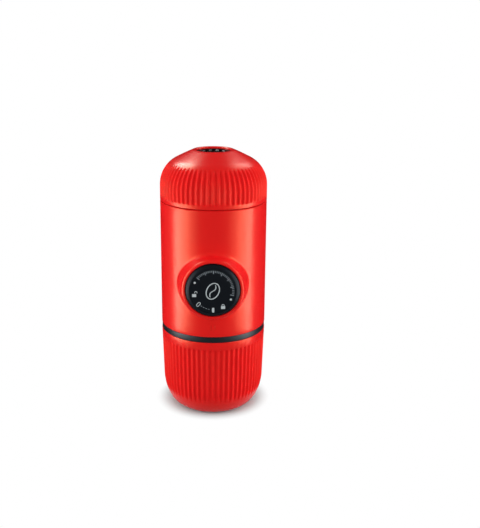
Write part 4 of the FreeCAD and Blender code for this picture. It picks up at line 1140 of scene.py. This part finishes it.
# ---- Button ----
class Print:
    """Flat shapes of the button's print, drawn about the face's centre."""

    THICKNESS = 0.03

    def __init__(self) -> None:
        """Start with an empty sheet."""
        self.sheet = bmesh.new()

    def settle(self, shape: bmesh.types.BMesh, x: float, y: float, turn: float = 0.0) -> None:
        """Add a flat shape to the sheet.

        Args:
            shape: The shape about its own centre, which is freed.
            x: Place across.
            y: Place up.
            turn: Turn in degrees.
        """
        place = Matrix.Translation((x, y, 0)) @ Matrix.Rotation(math.radians(turn), 4, "Z")
        bmesh.ops.transform(shape, matrix=place, verts=shape.verts)
        data = bpy.data.meshes.new("print_part")
        shape.to_mesh(data)
        shape.free()
        self.sheet.from_mesh(data)
        bpy.data.meshes.remove(data)

    def raised(self, height: float) -> bmesh.types.BMesh:
        """Thicken the sheet and lift it.

        Args:
            height: Where its top comes to lie.

        Returns:
            The sheet.
        """
        bmesh.ops.recalc_face_normals(self.sheet, faces=self.sheet.faces)
        bmesh.ops.solidify(self.sheet, geom=list(self.sheet.faces), thickness=self.THICKNESS)
        top = max(vert.co.z for vert in self.sheet.verts)
        bmesh.ops.translate(self.sheet, vec=(0, 0, height - top), verts=self.sheet.verts)
        bmesh.ops.recalc_face_normals(self.sheet, faces=self.sheet.faces)
        return self.sheet


def flat_dot(radius: float) -> bmesh.types.BMesh:
    """A round dot."""
    shape = bmesh.new()
    bmesh.ops.create_circle(shape, cap_ends=True, segments=20, radius=radius)
    return shape


def hollow(shape: bmesh.types.BMesh, line: float) -> None:
    """Leave a flat shape's outline only.

    Args:
        shape: The shape.
        line: The outline's width.
    """
    inner = list(shape.faces)
    bmesh.ops.inset_region(shape, faces=inner, thickness=line, depth=0, use_boundary=True,
                           use_even_offset=True)
    bmesh.ops.delete(shape, geom=inner, context="FACES")


def flat_slot(width: float, length: float, line: float = 0.0, corner: float = 0.0) -> bmesh.types.BMesh:
    """An upright rounded bar, filled or as an outline.

    Args:
        width: Its width.
        length: Its length.
        line: Width of the outline, or 0 for a filled bar.
        corner: Corner radius, or 0 for round ends.

    Returns:
        The shape.
    """
    shape = bmesh.new()
    bmesh.ops.create_grid(shape, x_segments=1, y_segments=1, size=0.5)
    bmesh.ops.scale(shape, vec=(width, length, 1), verts=shape.verts)
    round_by = corner or width / 2 * ROUND_END
    bmesh.ops.bevel(shape, geom=list(shape.verts), offset=round_by, affect="VERTICES", segments=6,
                    profile=0.5, material=-1)
    if line > 0:
        hollow(shape, line)
    return shape


@dataclass(frozen=True)
class ButtonPrint:
    """The button's print: bean, padlocks, dots, tick scale and the two lock positions."""

    ring: float = 11.1
    bean: tuple[float, float] = (3.7, 5.1)
    bean_lean: float = -24.0
    bean_line: float = 0.55
    crease_sway: float = 0.85
    crease_half: float = 3.8
    dot_radius: float = 0.62
    dot_angles: tuple[float, float] = (154.0, -25.5)
    start_bar: tuple[float, float] = (1.3, 2.9)
    start_angle: float = -89.0
    stop_bar: tuple[float, float, float] = (1.7, 3.0, 0.36)
    stop_angle: float = -136.0
    stop_lean: float = -40.0
    lock_angles: tuple[float, float] = (-57.0, -170.0)
    lock_inset: float = 0.6
    lock_body: tuple[float, float, float, float] = (2.3, 1.75, 0, 0.25)
    lock_drop: float = 0.7
    shackle: tuple[float, float, float] = (1.6, 2.4, 0.34)
    shackle_rise: float = 0.1
    shackle_lift: float = 0.55
    shackle_shift: float = 0.95
    tick_start: float = 138.0
    tick_end: float = -12.0
    tick_count: int = 31
    tick_group: int = 5
    long_tick: tuple[float, float] = (0.42, 2.1)
    short_tick: tuple[float, float] = (0.3, 1.3)
    tick_edge: float = 0.9
    tick_corner: float = 0.1
    dash: tuple[float, float] = (0.3, 0.9)
    dash_count: int = 4
    dash_start: float = -102.0
    dash_step: float = -8.0
    dash_inset: float = 0.3

    def place(self, angle: float, inset: float = 0.0) -> tuple[float, float]:
        """Where a mark lies at an angle on the print's ring, or further in."""
        turn = math.radians(angle)
        return (self.ring - inset) * math.cos(turn), (self.ring - inset) * math.sin(turn)

    def marks(self) -> Print:
        """Draw the bean, the padlocks, the dots and the two lock positions.

        Returns:
            The sheet that carries them.
        """
        sheet = Print()
        self.draw_bean(sheet)
        for angle in self.dot_angles:
            sheet.settle(flat_dot(self.dot_radius), *self.place(angle))
        sheet.settle(flat_slot(*self.start_bar), *self.place(self.start_angle))
        sheet.settle(flat_slot(*self.stop_bar), *self.place(self.stop_angle), self.stop_lean)
        for angle, opened in zip(self.lock_angles, (False, True)):
            self.draw_padlock(sheet, angle, opened)
        return sheet

    def draw_bean(self, sheet: Print) -> None:
        """Draw a coffee bean as an outline with a winding crease.

        Args:
            sheet: The print.
        """
        ring = bmesh.new()
        bmesh.ops.create_circle(ring, cap_ends=True, segments=48, radius=1)
        bmesh.ops.scale(ring, vec=(*self.bean, 1), verts=ring.verts)
        hollow(ring, self.bean_line)
        sheet.settle(ring, 0, 0, self.bean_lean)
        crease = bmesh.new()
        bmesh.ops.create_grid(crease, x_segments=1, y_segments=20, size=0.5)
        bmesh.ops.scale(crease, vec=(self.bean_line, 2 * self.crease_half, 1), verts=crease.verts)
        for vert in crease.verts:
            vert.co.x += self.crease_sway * math.sin(vert.co.y / self.crease_half * math.pi)
        sheet.settle(crease, 0, 0, self.bean_lean)

    def draw_padlock(self, sheet: Print, angle: float, opened: bool) -> None:
        """Draw a small padlock on the print's ring.

        Args:
            sheet: The print.
            angle: Its place, in degrees.
            opened: Whether its shackle stands open.
        """
        x, y = self.place(angle, self.lock_inset)
        sheet.settle(flat_slot(*self.lock_body), x, y - self.lock_drop)
        shackle = flat_slot(*self.shackle)
        bmesh.ops.bisect_plane(shackle, geom=whole(shackle), dist=WELD, plane_co=(0, 0, 0),
                               plane_no=(0, -1, 0), clear_outer=True)
        shift, lift = (self.shackle_shift, self.shackle_lift) if opened else (0, 0)
        sheet.settle(shackle, x + shift, y + self.shackle_rise + lift)

    def scale(self) -> Print:
        """Draw the tick scale round the upper edge and a dashed path between the lock positions.

        Returns:
            The sheet that carries them.
        """
        sheet = Print()
        step = (self.tick_end - self.tick_start) / (self.tick_count - 1)
        for tick in range(self.tick_count):
            angle = self.tick_start + step * tick
            width, length = self.short_tick if tick % self.tick_group else self.long_tick
            place = self.place(angle, length / 2 - self.tick_edge)
            sheet.settle(flat_slot(width, length, 0, self.tick_corner), *place, angle - 90)
        for dash in range(self.dash_count):
            angle = self.dash_start + dash * self.dash_step
            place = self.place(angle, self.dash_inset)
            sheet.settle(flat_slot(*self.dash, 0, self.tick_corner), *place, angle)
        return sheet


@dataclass
class Piston:
    """The button: bevelled cap with a long skirt, and a printed face."""

    palette: Palette
    radius: float
    reach: float
    back: float
    face_radius: float
    bevel_width: float = 2.0
    bevel_depth: float = 1.2
    bevel_rounding: float = 0.35
    face_sink: float = 0.05
    face_rounding: float = 0.18
    print_sink: float = 0.02
    skirt_bore: float = 14.0
    skirt_rows: int = 3
    plate: float = 3.0
    face_gap: float = 0.12
    face_seat: float = 1.0
    stem_bore: float = 4.0
    spans: int = 180
    cap_crease: float = 50.0

    @classmethod
    def from_frame(cls, palette: Palette) -> "Piston":
        """Take the button's overall sizes from the frame."""
        low, high = extent("button_cap")
        return cls(palette, high.x, -low.y, -high.y, extent("button_face")[1].x)

    def outline(self) -> Outline:
        """Draw the cap's half-section along the pump's axis.

        Returns:
            The outline, from the skirt's end over the bevel to the disc's seat and the inside.
        """
        inner = self.radius - self.bevel_width
        seat_radius = self.face_radius + self.face_gap
        seat = self.reach - self.face_seat
        under = self.reach - self.plate
        outline = Outline(self.skirt_bore, self.back, Edge.FINE)
        outline.path((self.radius, self.back, Edge.ROUND),
                     (self.radius, self.reach - self.bevel_depth, Edge.RIM, self.skirt_rows),
                     (inner, self.reach, self.bevel_rounding), (seat_radius, self.reach, Edge.CRISP),
                     (seat_radius, seat, Edge.CRISP), (self.stem_bore, seat), (self.stem_bore, under),
                     (self.skirt_bore, under, Edge.SOFT))
        return outline

    def face_outline(self) -> Outline:
        """Draw the printed disc's half-section.

        Returns:
            The outline, from the middle of its back to the middle of its front.
        """
        top = self.reach - self.face_sink
        back = self.reach - self.face_seat + self.face_sink
        outline = Outline(0, back)
        outline.path((self.face_radius, back, Edge.CRISP),
                     (self.face_radius, top, self.face_rounding), (0, top))
        return outline

    def build(self) -> None:
        """Build and dress the button."""
        cap = along_pump(turned(self.outline(), self.spans))
        finished_piece("button_cap_moulding", cap, self.palette.black, Body.BUTTON,
                       ["button_cap"], crease=self.cap_crease)
        face = along_pump(turned(self.face_outline(), self.spans, closed=False))
        finished_piece("button_face_disc", face, self.palette.face, Body.BUTTON,
                       ["button_face"])
        drawn = ButtonPrint()
        for name, sheet, ink in (("marks", drawn.marks(), self.palette.ink),
                                 ("scale", drawn.scale(), self.palette.soft_ink)):
            mesh = along_pump(sheet.raised(self.reach - self.print_sink))
            finished_piece(f"button_print_{name}", mesh, ink, Body.BUTTON)


# ---- Portafilter ----
@dataclass
class Portafilter:
    """Threaded collar, grained band, plug for the cup and funnel."""

    palette: Palette
    band_radius: float
    band_bottom: float
    band_top: float
    top: float
    band_rounding: float = 0.25
    band_rows: int = 2
    collar_bevel: float = 0.2
    thread: Thread = Thread(root=24.0, crest=24.6, low=0.7, rise=4.6)
    relief: float = 0.9
    band_gap: float = 0.05
    seat_radius: float = 23.0
    seat_height: float = 58.8
    bore: float = 21.2
    plug_radius: float = 27.9
    plug_bottom: float = 41.0
    plug_bevel: float = 1.4
    groove: tuple[float, float] = (44.0, 46.4)
    groove_depth: float = 1.2
    funnel: tuple[float, float] = (42.7, 46.1)
    outlet_radius: float = 2.2
    outlet_top: float = 42.0
    neck_radius: float = 9.0
    neck_top: float = 37.0
    neck_rounding: float = 1.2
    spout_radius: float = 7.6
    spout_seat: float = 28.0
    pin_radius: float = 5.6
    pin_bottom: float = 22.0
    spans: int = 180

    @classmethod
    def from_frame(cls, palette: Palette) -> "Portafilter":
        """Take the band's sizes from the frame."""
        high = extent("portafilter")[1]
        return cls(palette, high.x, extent("cup")[1].z, extent("body_shell")[0].z, high.z)

    def outline(self) -> Outline:
        """Draw the portafilter's half-section.

        Returns:
            The outline, from the collar over the band, plug and spout's pin to the funnel inside.
        """
        high = self.band_top - self.band_gap
        low = self.band_bottom + self.band_gap
        groove_radius = self.plug_radius - self.groove_depth
        outline = Outline(self.seat_radius, self.top, Edge.FINE)
        outline.path((self.thread.root + self.collar_bevel, self.top, Edge.SOFT),
                     (self.thread.root, self.top - self.relief, Edge.FINE),
                     (self.thread.root, high, Edge.SOFT),
                     (self.band_radius, high, self.band_rounding),
                     (self.band_radius, low, self.band_rounding, self.band_rows),
                     (self.plug_radius, low, Edge.SOFT), (self.plug_radius, self.groove[1], Edge.FINE),
                     (groove_radius, self.groove[1], Edge.CRISP),
                     (groove_radius, self.groove[0], Edge.CRISP),
                     (self.plug_radius, self.groove[0], Edge.FINE),
                     (self.plug_radius, self.plug_bottom + self.plug_bevel, Edge.SOFT),
                     (self.plug_radius - self.plug_bevel, self.plug_bottom, Edge.SOFT),
                     (self.bore, self.funnel[0], Edge.FULL),
                     (self.neck_radius, self.neck_top, self.neck_rounding),
                     (self.spout_radius, self.spout_seat, Edge.ROUND),
                     (self.pin_radius, self.spout_seat, Edge.FINE),
                     (self.pin_radius, self.pin_bottom, Edge.ROUND),
                     (self.outlet_radius, self.pin_bottom, Edge.SOFT),
                     (self.outlet_radius, self.outlet_top, Edge.FULL),
                     (self.bore, self.funnel[1], Edge.ROUND), (self.bore, self.seat_height, Edge.SOFT),
                     (self.seat_radius, self.seat_height, Edge.CRISP))
        return outline

    def build(self) -> None:
        """Build and dress the portafilter."""
        mesh = turned(self.outline(), self.spans)
        finished_piece("portafilter_moulding", mesh, self.palette.band, Body.PORTAFILTER,
                       ["portafilter"])
        finished_piece("collar_thread", self.thread.build(self.band_top), self.palette.band,
                       Body.PORTAFILTER)


# ---- Cup ----
@dataclass
class Cup:
    """The fluted drinking cup."""

    palette: Palette
    radius: float
    height: float
    draft: float = 1.7
    foot_radius: float = 18.2
    corner_height: float = 20.0
    wall: float = 2.3
    floor: float = 2.6
    flute_drop: float = 4.5
    flute_end_round: float = 1.7
    flute_turn: float = 11.5
    flute_fade: float = 19.0
    flute_depth: float = 0.8
    flute_spans: int = 12
    skin: float = 0.5
    round_skin: float = 0.02
    foot_ring: float = 4.0
    foot_recess: float = 0.5
    corner_spans: int = 36
    wall_rows: int = 3
    flute_end_rows: int = 7
    inner_spans: int = 14

    @classmethod
    def from_frame(cls, palette: Palette) -> "Cup":
        """Take the cup's overall sizes from the frame."""
        high = extent("cup")[1]
        return cls(palette, high.x, high.z)

    def outer_radius(self, height: float) -> float:
        """The drafted wall's radius at a height."""
        return self.radius - (self.height - height) * math.tan(math.radians(self.draft))

    def flute_share(self, point: Vector) -> float:
        """Share of the flutes' full depth at an outline point.

        Args:
            point: Radius and height.

        Returns:
            Nothing on inner faces, 1 in the middle of a flute, less towards its ends.
        """
        if point.y >= self.corner_height:
            drop = self.height - self.flute_drop - point.y
            on_wall = point.x > self.outer_radius(point.y) - self.skin
            return rounded_end(drop, self.flute_end_round) if on_wall else 0.0
        width = self.outer_radius(self.corner_height) - self.foot_radius
        across = (point.x - self.foot_radius) / width
        up = (self.corner_height - point.y) / self.corner_height
        if across <= 0 or abs(math.hypot(across, up) - 1) > self.round_skin:
            return 0.0
        turn = math.degrees(math.atan2(up, across))
        return max(1 - (max(turn - self.flute_turn, 0) / self.flute_fade) ** 2, 0)

    def outline(self) -> Outline:
        """Draw the cup's half-section.

        Returns:
            The outline, from the middle of the foot over the rim to the middle of the floor.
        """
        corner = self.outer_radius(self.corner_height)
        width = corner - self.foot_radius
        top_of_flutes = self.height - self.flute_drop
        full_flutes = top_of_flutes - self.flute_end_round
        inner_top = self.radius - self.wall
        seat = (self.foot_radius, self.corner_height)
        ring = self.foot_radius - self.foot_ring
        outline = Outline(0, self.foot_recess)
        outline.path((ring, self.foot_recess, Edge.ROUND), (ring - self.foot_recess, 0, Edge.SOFT),
                     (self.foot_radius, 0))
        outline.ellipse(seat, (width, self.corner_height), -90, 0, self.corner_spans)
        outline.path((self.outer_radius(full_flutes), full_flutes, 0, self.wall_rows),
                     (self.outer_radius(top_of_flutes), top_of_flutes, 0, self.flute_end_rows),
                     (self.radius, self.height, Edge.RIM), (inner_top, self.height, Edge.BROAD),
                     (corner - self.wall, self.corner_height))
        outline.ellipse(seat, (width - self.wall, self.corner_height - self.floor), 0, -90,
                        self.inner_spans)
        outline.line(0, self.floor)
        return outline

    def build(self) -> None:
        """Build and dress the cup."""
        flutes = Flutes(self.flute_share, self.flute_depth)
        mesh = turned(self.outline(), flutes.count * self.flute_spans, closed=False, flutes=flutes)
        finished_piece("cup_moulding", mesh, self.palette.red, Body.CUP, ["cup"],
                       grip=self.palette.grip)


# ---- Studio ----
class Reach(Enum):
    """What a lamp lights."""

    SURFACES = "the matt share of surfaces"
    GLOSS = "gloss, as a reflector card does"


@dataclass(frozen=True)
class Softbox:
    """A soft rectangular lamp, or a bright card that only shows in gloss."""

    name: str
    place: tuple[float, float, float]
    target: tuple[float, float, float]
    width: float
    height: float
    brightness: float
    reach: Reach

    def build(self, spared: Optional[bpy.types.Collection] = None) -> None:
        """Hang the lamp.

        Args:
            spared: A collection whose objects the lamp doesn't light.
        """
        data = bpy.data.lights.new(self.name, "AREA")
        data.shape = "RECTANGLE"
        data.size = self.width
        data.size_y = self.height
        data.energy = self.brightness * math.pi * self.width * self.height
        lamp = bpy.data.objects.new(self.name, data)
        lamp.location = self.place
        aim = Vector(self.target) - Vector(self.place)
        lamp.rotation_euler = aim.to_track_quat("-Z", "Y").to_euler()
        lamp.visible_camera = False
        lamp.visible_glossy = self.reach is Reach.GLOSS
        lamp.visible_diffuse = self.reach is Reach.SURFACES
        if spared:
            lamp.light_linking.receiver_collection = spared
        bpy.context.scene.collection.objects.link(lamp)


@dataclass(frozen=True)
class Flags:
    """Black cards round the back and above, which keep the white surround out of the gloss."""

    radius: float = 0.09
    height: float = 0.2
    half_turn: float = 98.0
    spans: int = 32
    roof_height: float = 0.36
    roof_size: tuple[float, float] = (0.17, 0.5)
    wing_reach: float = 0.036
    floor_gap: float = 0.001

    def wall(self, mesh: bmesh.types.BMesh) -> None:
        """Bend a card round the back of the set, and turn its ends in towards the object.

        Args:
            mesh: The mesh of all the cards.
        """
        turn = math.radians(self.half_turn)
        edge = Vector((self.radius * math.sin(turn), self.radius * math.cos(turn), 0.0))
        foot = mesh.verts.new(edge + Vector((0, 0, self.floor_gap)))
        head = mesh.verts.new(edge + Vector((0, 0, self.height)))
        strip = [foot, head, mesh.edges.new((foot, head))]
        last = bmesh.ops.spin(mesh, geom=strip, axis=(0, 0, 1), angle=2 * turn, steps=self.spans)["geom_last"]
        ends = [strip[2]] + [part for part in last if isinstance(part, bmesh.types.BMEdge)]
        for end in ends:
            wing = bmesh.ops.extrude_edge_only(mesh, edges=[end])["geom"]
            for part in wing:
                if isinstance(part, bmesh.types.BMVert):
                    part.co.x = math.copysign(self.wing_reach, part.co.x)
                    part.co.y = 0.0

    def roof(self, mesh: bmesh.types.BMesh) -> None:
        """Hang a card above and behind, between the two crown lamps."""
        place = Matrix.Translation((0, self.roof_size[1] / 2 - self.radius, self.roof_height))
        size = Matrix.Diagonal((self.roof_size[0], self.roof_size[1], 1, 1))
        bmesh.ops.create_grid(mesh, x_segments=1, y_segments=1, size=0.5, matrix=place @ size)

    def build(self) -> None:
        """Set the cards up so that only gloss shows them."""
        mesh = bmesh.new()
        self.wall(mesh)
        self.roof(mesh)
        material, tree, _ = blank_material("flag_black_velvet")
        cloth = add_node(tree, "ShaderNodeBsdfDiffuse", {"Color": linear("#050505")})
        add_node(tree, "ShaderNodeOutputMaterial", None, {"Surface": cloth.outputs["BSDF"]})
        flag = placed("flag", mesh, material)
        flag.visible_camera = False
        flag.visible_diffuse = False
        flag.visible_shadow = False


@dataclass
class Studio:
    """Pale floor, white surround, soft lamps and the camera.

    A card is given by its place along Y, its width and its share of the brightness.
    """

    lens: float = 54.8
    sensor: float = 36.0
    eye: tuple[float, float, float] = (0.004, -0.4591, 0.2267)
    pitch: float = 16.87
    yaw: float = 1.477
    roll: float = 0.67
    fill: float = 0.67
    lamp_place: tuple[float, float, float] = (0.483, -0.129, 0.12)
    lamp_target: tuple[float, float, float] = (0, 0, 0.08)
    lamp_size: tuple[float, float] = (0.3, 0.5)
    lamp_brightness: float = 3.85
    cards: tuple[tuple[float, float, float], ...] = ((-0.043, 0.05, 1.0), (-0.093, 0.05, 0.6),
                                                     (-0.153, 0.07, 0.2))
    card_gap: float = 0.13
    card_brightness: float = 24.0
    card_height: float = 0.083
    card_size: float = 0.158
    crown_brightness: float = 33.0
    crown_shares: tuple[float, float] = (1.0, 0.4)
    crown_place: tuple[float, float, float] = (0.31, 0.23, 0.57)
    crown_target: tuple[float, float, float] = (0, 0, 0.14)
    crown_size: tuple[float, float] = (0.28, 0.26)
    floor_colour: str = "#B9CCCC"
    floor_glow: float = 0.05
    floor_fade: tuple[float, float] = (0.024, 0.036)
    shadow_centre: tuple[float, float, float] = (0, 0.004, 0)
    floor_radius: float = 6.0
    floor_spans: int = 96

    def build(self) -> None:
        """Set up the studio."""
        self.build_world()
        self.build_floor()
        Flags().build()
        metal = self.spared("metal", "steel")
        metal_and_face = self.spared("metal_and_face", "steel", "button_face", "button_print")
        for lamp in self.lamps():
            if lamp.reach is Reach.GLOSS:
                lamp.build(metal_and_face if lamp.name.startswith("card") else metal)
            else:
                lamp.build()
        self.build_camera()
        bpy.context.scene.view_settings.view_transform = "Standard"

    def spared(self, name: str, *words: str) -> bpy.types.Collection:
        """Gather the pieces that a bright card would burn out, and that it leaves alone.

        Args:
            name: The collection's name.
            words: Words that a spared piece has in its own name or its finish's.

        Returns:
            The collection, whose members the light is kept off.
        """
        spared = bpy.data.collections.new(name)
        for item in bpy.context.scene.objects:
            names = [item.name] + [slot.material.name for slot in item.material_slots if slot.material]
            if any(word in label for label in names for word in words):
                spared.objects.link(item)
        for member in spared.collection_objects:
            member.light_linking.link_state = "EXCLUDE"
        return spared

    def lamps(self) -> list[Softbox]:
        """Set two lamps at the sides, graded cards close by and cards above for the highlights.

        Returns:
            The lamps, left side first.
        """
        lamps = []
        for name, side, crown in zip(("left", "right"), (-1, 1), self.crown_shares):
            across, back, high = self.lamp_place
            lamps.append(Softbox(f"lamp_{name}", (side * across, back, high), self.lamp_target,
                                 *self.lamp_size, self.lamp_brightness, Reach.SURFACES))
            for step, (depth, width, share) in enumerate(self.cards):
                lamps.append(Softbox(f"card_{name}_{step}", (side * self.card_gap, depth, self.card_height),
                                     (0, depth, self.card_height), width, self.card_size,
                                     self.card_brightness * share, Reach.GLOSS))
            across, back, high = self.crown_place
            lamps.append(Softbox(f"crown_{name}", (side * across, back, high), self.crown_target,
                                 *self.crown_size, self.crown_brightness * crown, Reach.GLOSS))
        return lamps

    def seen_rays(self, tree: bpy.types.NodeTree) -> bpy.types.NodeSocket:
        """Tell the rays that see the surround from those that gather its light.

        Args:
            tree: The node tree.

        Returns:
            A value of 1 for camera, glossy and transmission rays.
        """
        path = add_node(tree, "ShaderNodeLightPath")
        first = add_node(tree, "ShaderNodeMath", None,
                         {0: path.outputs["Is Camera Ray"], 1: path.outputs["Is Glossy Ray"]},
                         operation="MAXIMUM")
        return add_node(tree, "ShaderNodeMath", None,
                        {0: first.outputs[0], 1: path.outputs["Is Transmission Ray"]},
                        operation="MAXIMUM").outputs[0]

    def build_world(self) -> None:
        """White to the eye and in reflections, soft grey as a lamp."""
        world = bpy.data.worlds.new("surround")
        world.use_nodes = True
        tree = world.node_tree
        tree.nodes.clear()
        strength = add_node(tree, "ShaderNodeMapRange", {"To Min": self.fill, "To Max": 1.0},
                            {"Value": self.seen_rays(tree)})
        glow = add_node(tree, "ShaderNodeBackground", {"Color": (1, 1, 1, 1)},
                        {"Strength": strength.outputs["Result"]})
        add_node(tree, "ShaderNodeOutputWorld", None, {"Surface": glow.outputs["Background"]})
        bpy.context.scene.world = world

    def build_floor(self) -> None:
        """A pale floor that keeps the soft shadow and fades into the white surround."""
        mesh = bmesh.new()
        bmesh.ops.create_circle(mesh, cap_ends=True, segments=self.floor_spans, radius=self.floor_radius)
        material, tree, place = blank_material("floor_matt_paper")
        reach = add_node(tree, "ShaderNodeVectorMath", {1: self.shadow_centre}, {0: place},
                         operation="DISTANCE")
        low, high = self.floor_fade
        fade = add_node(tree, "ShaderNodeMapRange", {"From Min": low, "From Max": high},
                        {"Value": reach.outputs["Value"]}, interpolation_type="SMOOTHSTEP")
        seen = self.seen_rays(tree)
        share = add_node(tree, "ShaderNodeMath", None, {0: fade.outputs["Result"], 1: seen},
                         operation="MULTIPLY")
        matt = add_node(tree, "ShaderNodeBsdfDiffuse", {"Color": linear(self.floor_colour)})
        lift = add_node(tree, "ShaderNodeMath", {1: self.floor_glow}, {0: seen}, operation="MULTIPLY")
        glow = add_node(tree, "ShaderNodeEmission", {"Color": (1, 1, 1, 1)},
                        {"Strength": lift.outputs[0]})
        near = add_node(tree, "ShaderNodeAddShader", None,
                        {0: matt.outputs["BSDF"], 1: glow.outputs["Emission"]})
        far = add_node(tree, "ShaderNodeEmission", {"Color": (1, 1, 1, 1), "Strength": 1.0})
        both = add_node(tree, "ShaderNodeMixShader", None,
                        {0: share.outputs[0], 1: near.outputs["Shader"], 2: far.outputs["Emission"]})
        add_node(tree, "ShaderNodeOutputMaterial", None, {"Surface": both.outputs["Shader"]})
        floor = placed("floor", mesh, material)

    def build_camera(self) -> None:
        """Set the camera at the object's portrait angle."""
        data = bpy.data.cameras.new("portrait")
        data.lens = self.lens
        data.sensor_width = self.sensor
        camera = bpy.data.objects.new("portrait", data)
        turn = (Matrix.Rotation(math.radians(-self.yaw), 4, "Z")
                @ Matrix.Rotation(math.radians(90 - self.pitch), 4, "X")
                @ Matrix.Rotation(math.radians(self.roll), 4, "Z"))
        camera.matrix_world = Matrix.Translation(self.eye) @ turn
        bpy.context.scene.collection.objects.link(camera)
        bpy.context.scene.camera = camera


def main() -> None:
    """Build the maker, then the studio."""
    logging.basicConfig(level=logging.INFO, format="%(name)s: %(message)s")
    palette = Palette()
    Tank.from_frame(palette).build()
    MainBody.from_frame(palette).build()
    Piston.from_frame(palette).build()
    Portafilter.from_frame(palette).build()
    Cup.from_frame(palette).build()
    Studio().build()


if __name__ == "__main__":
    main()
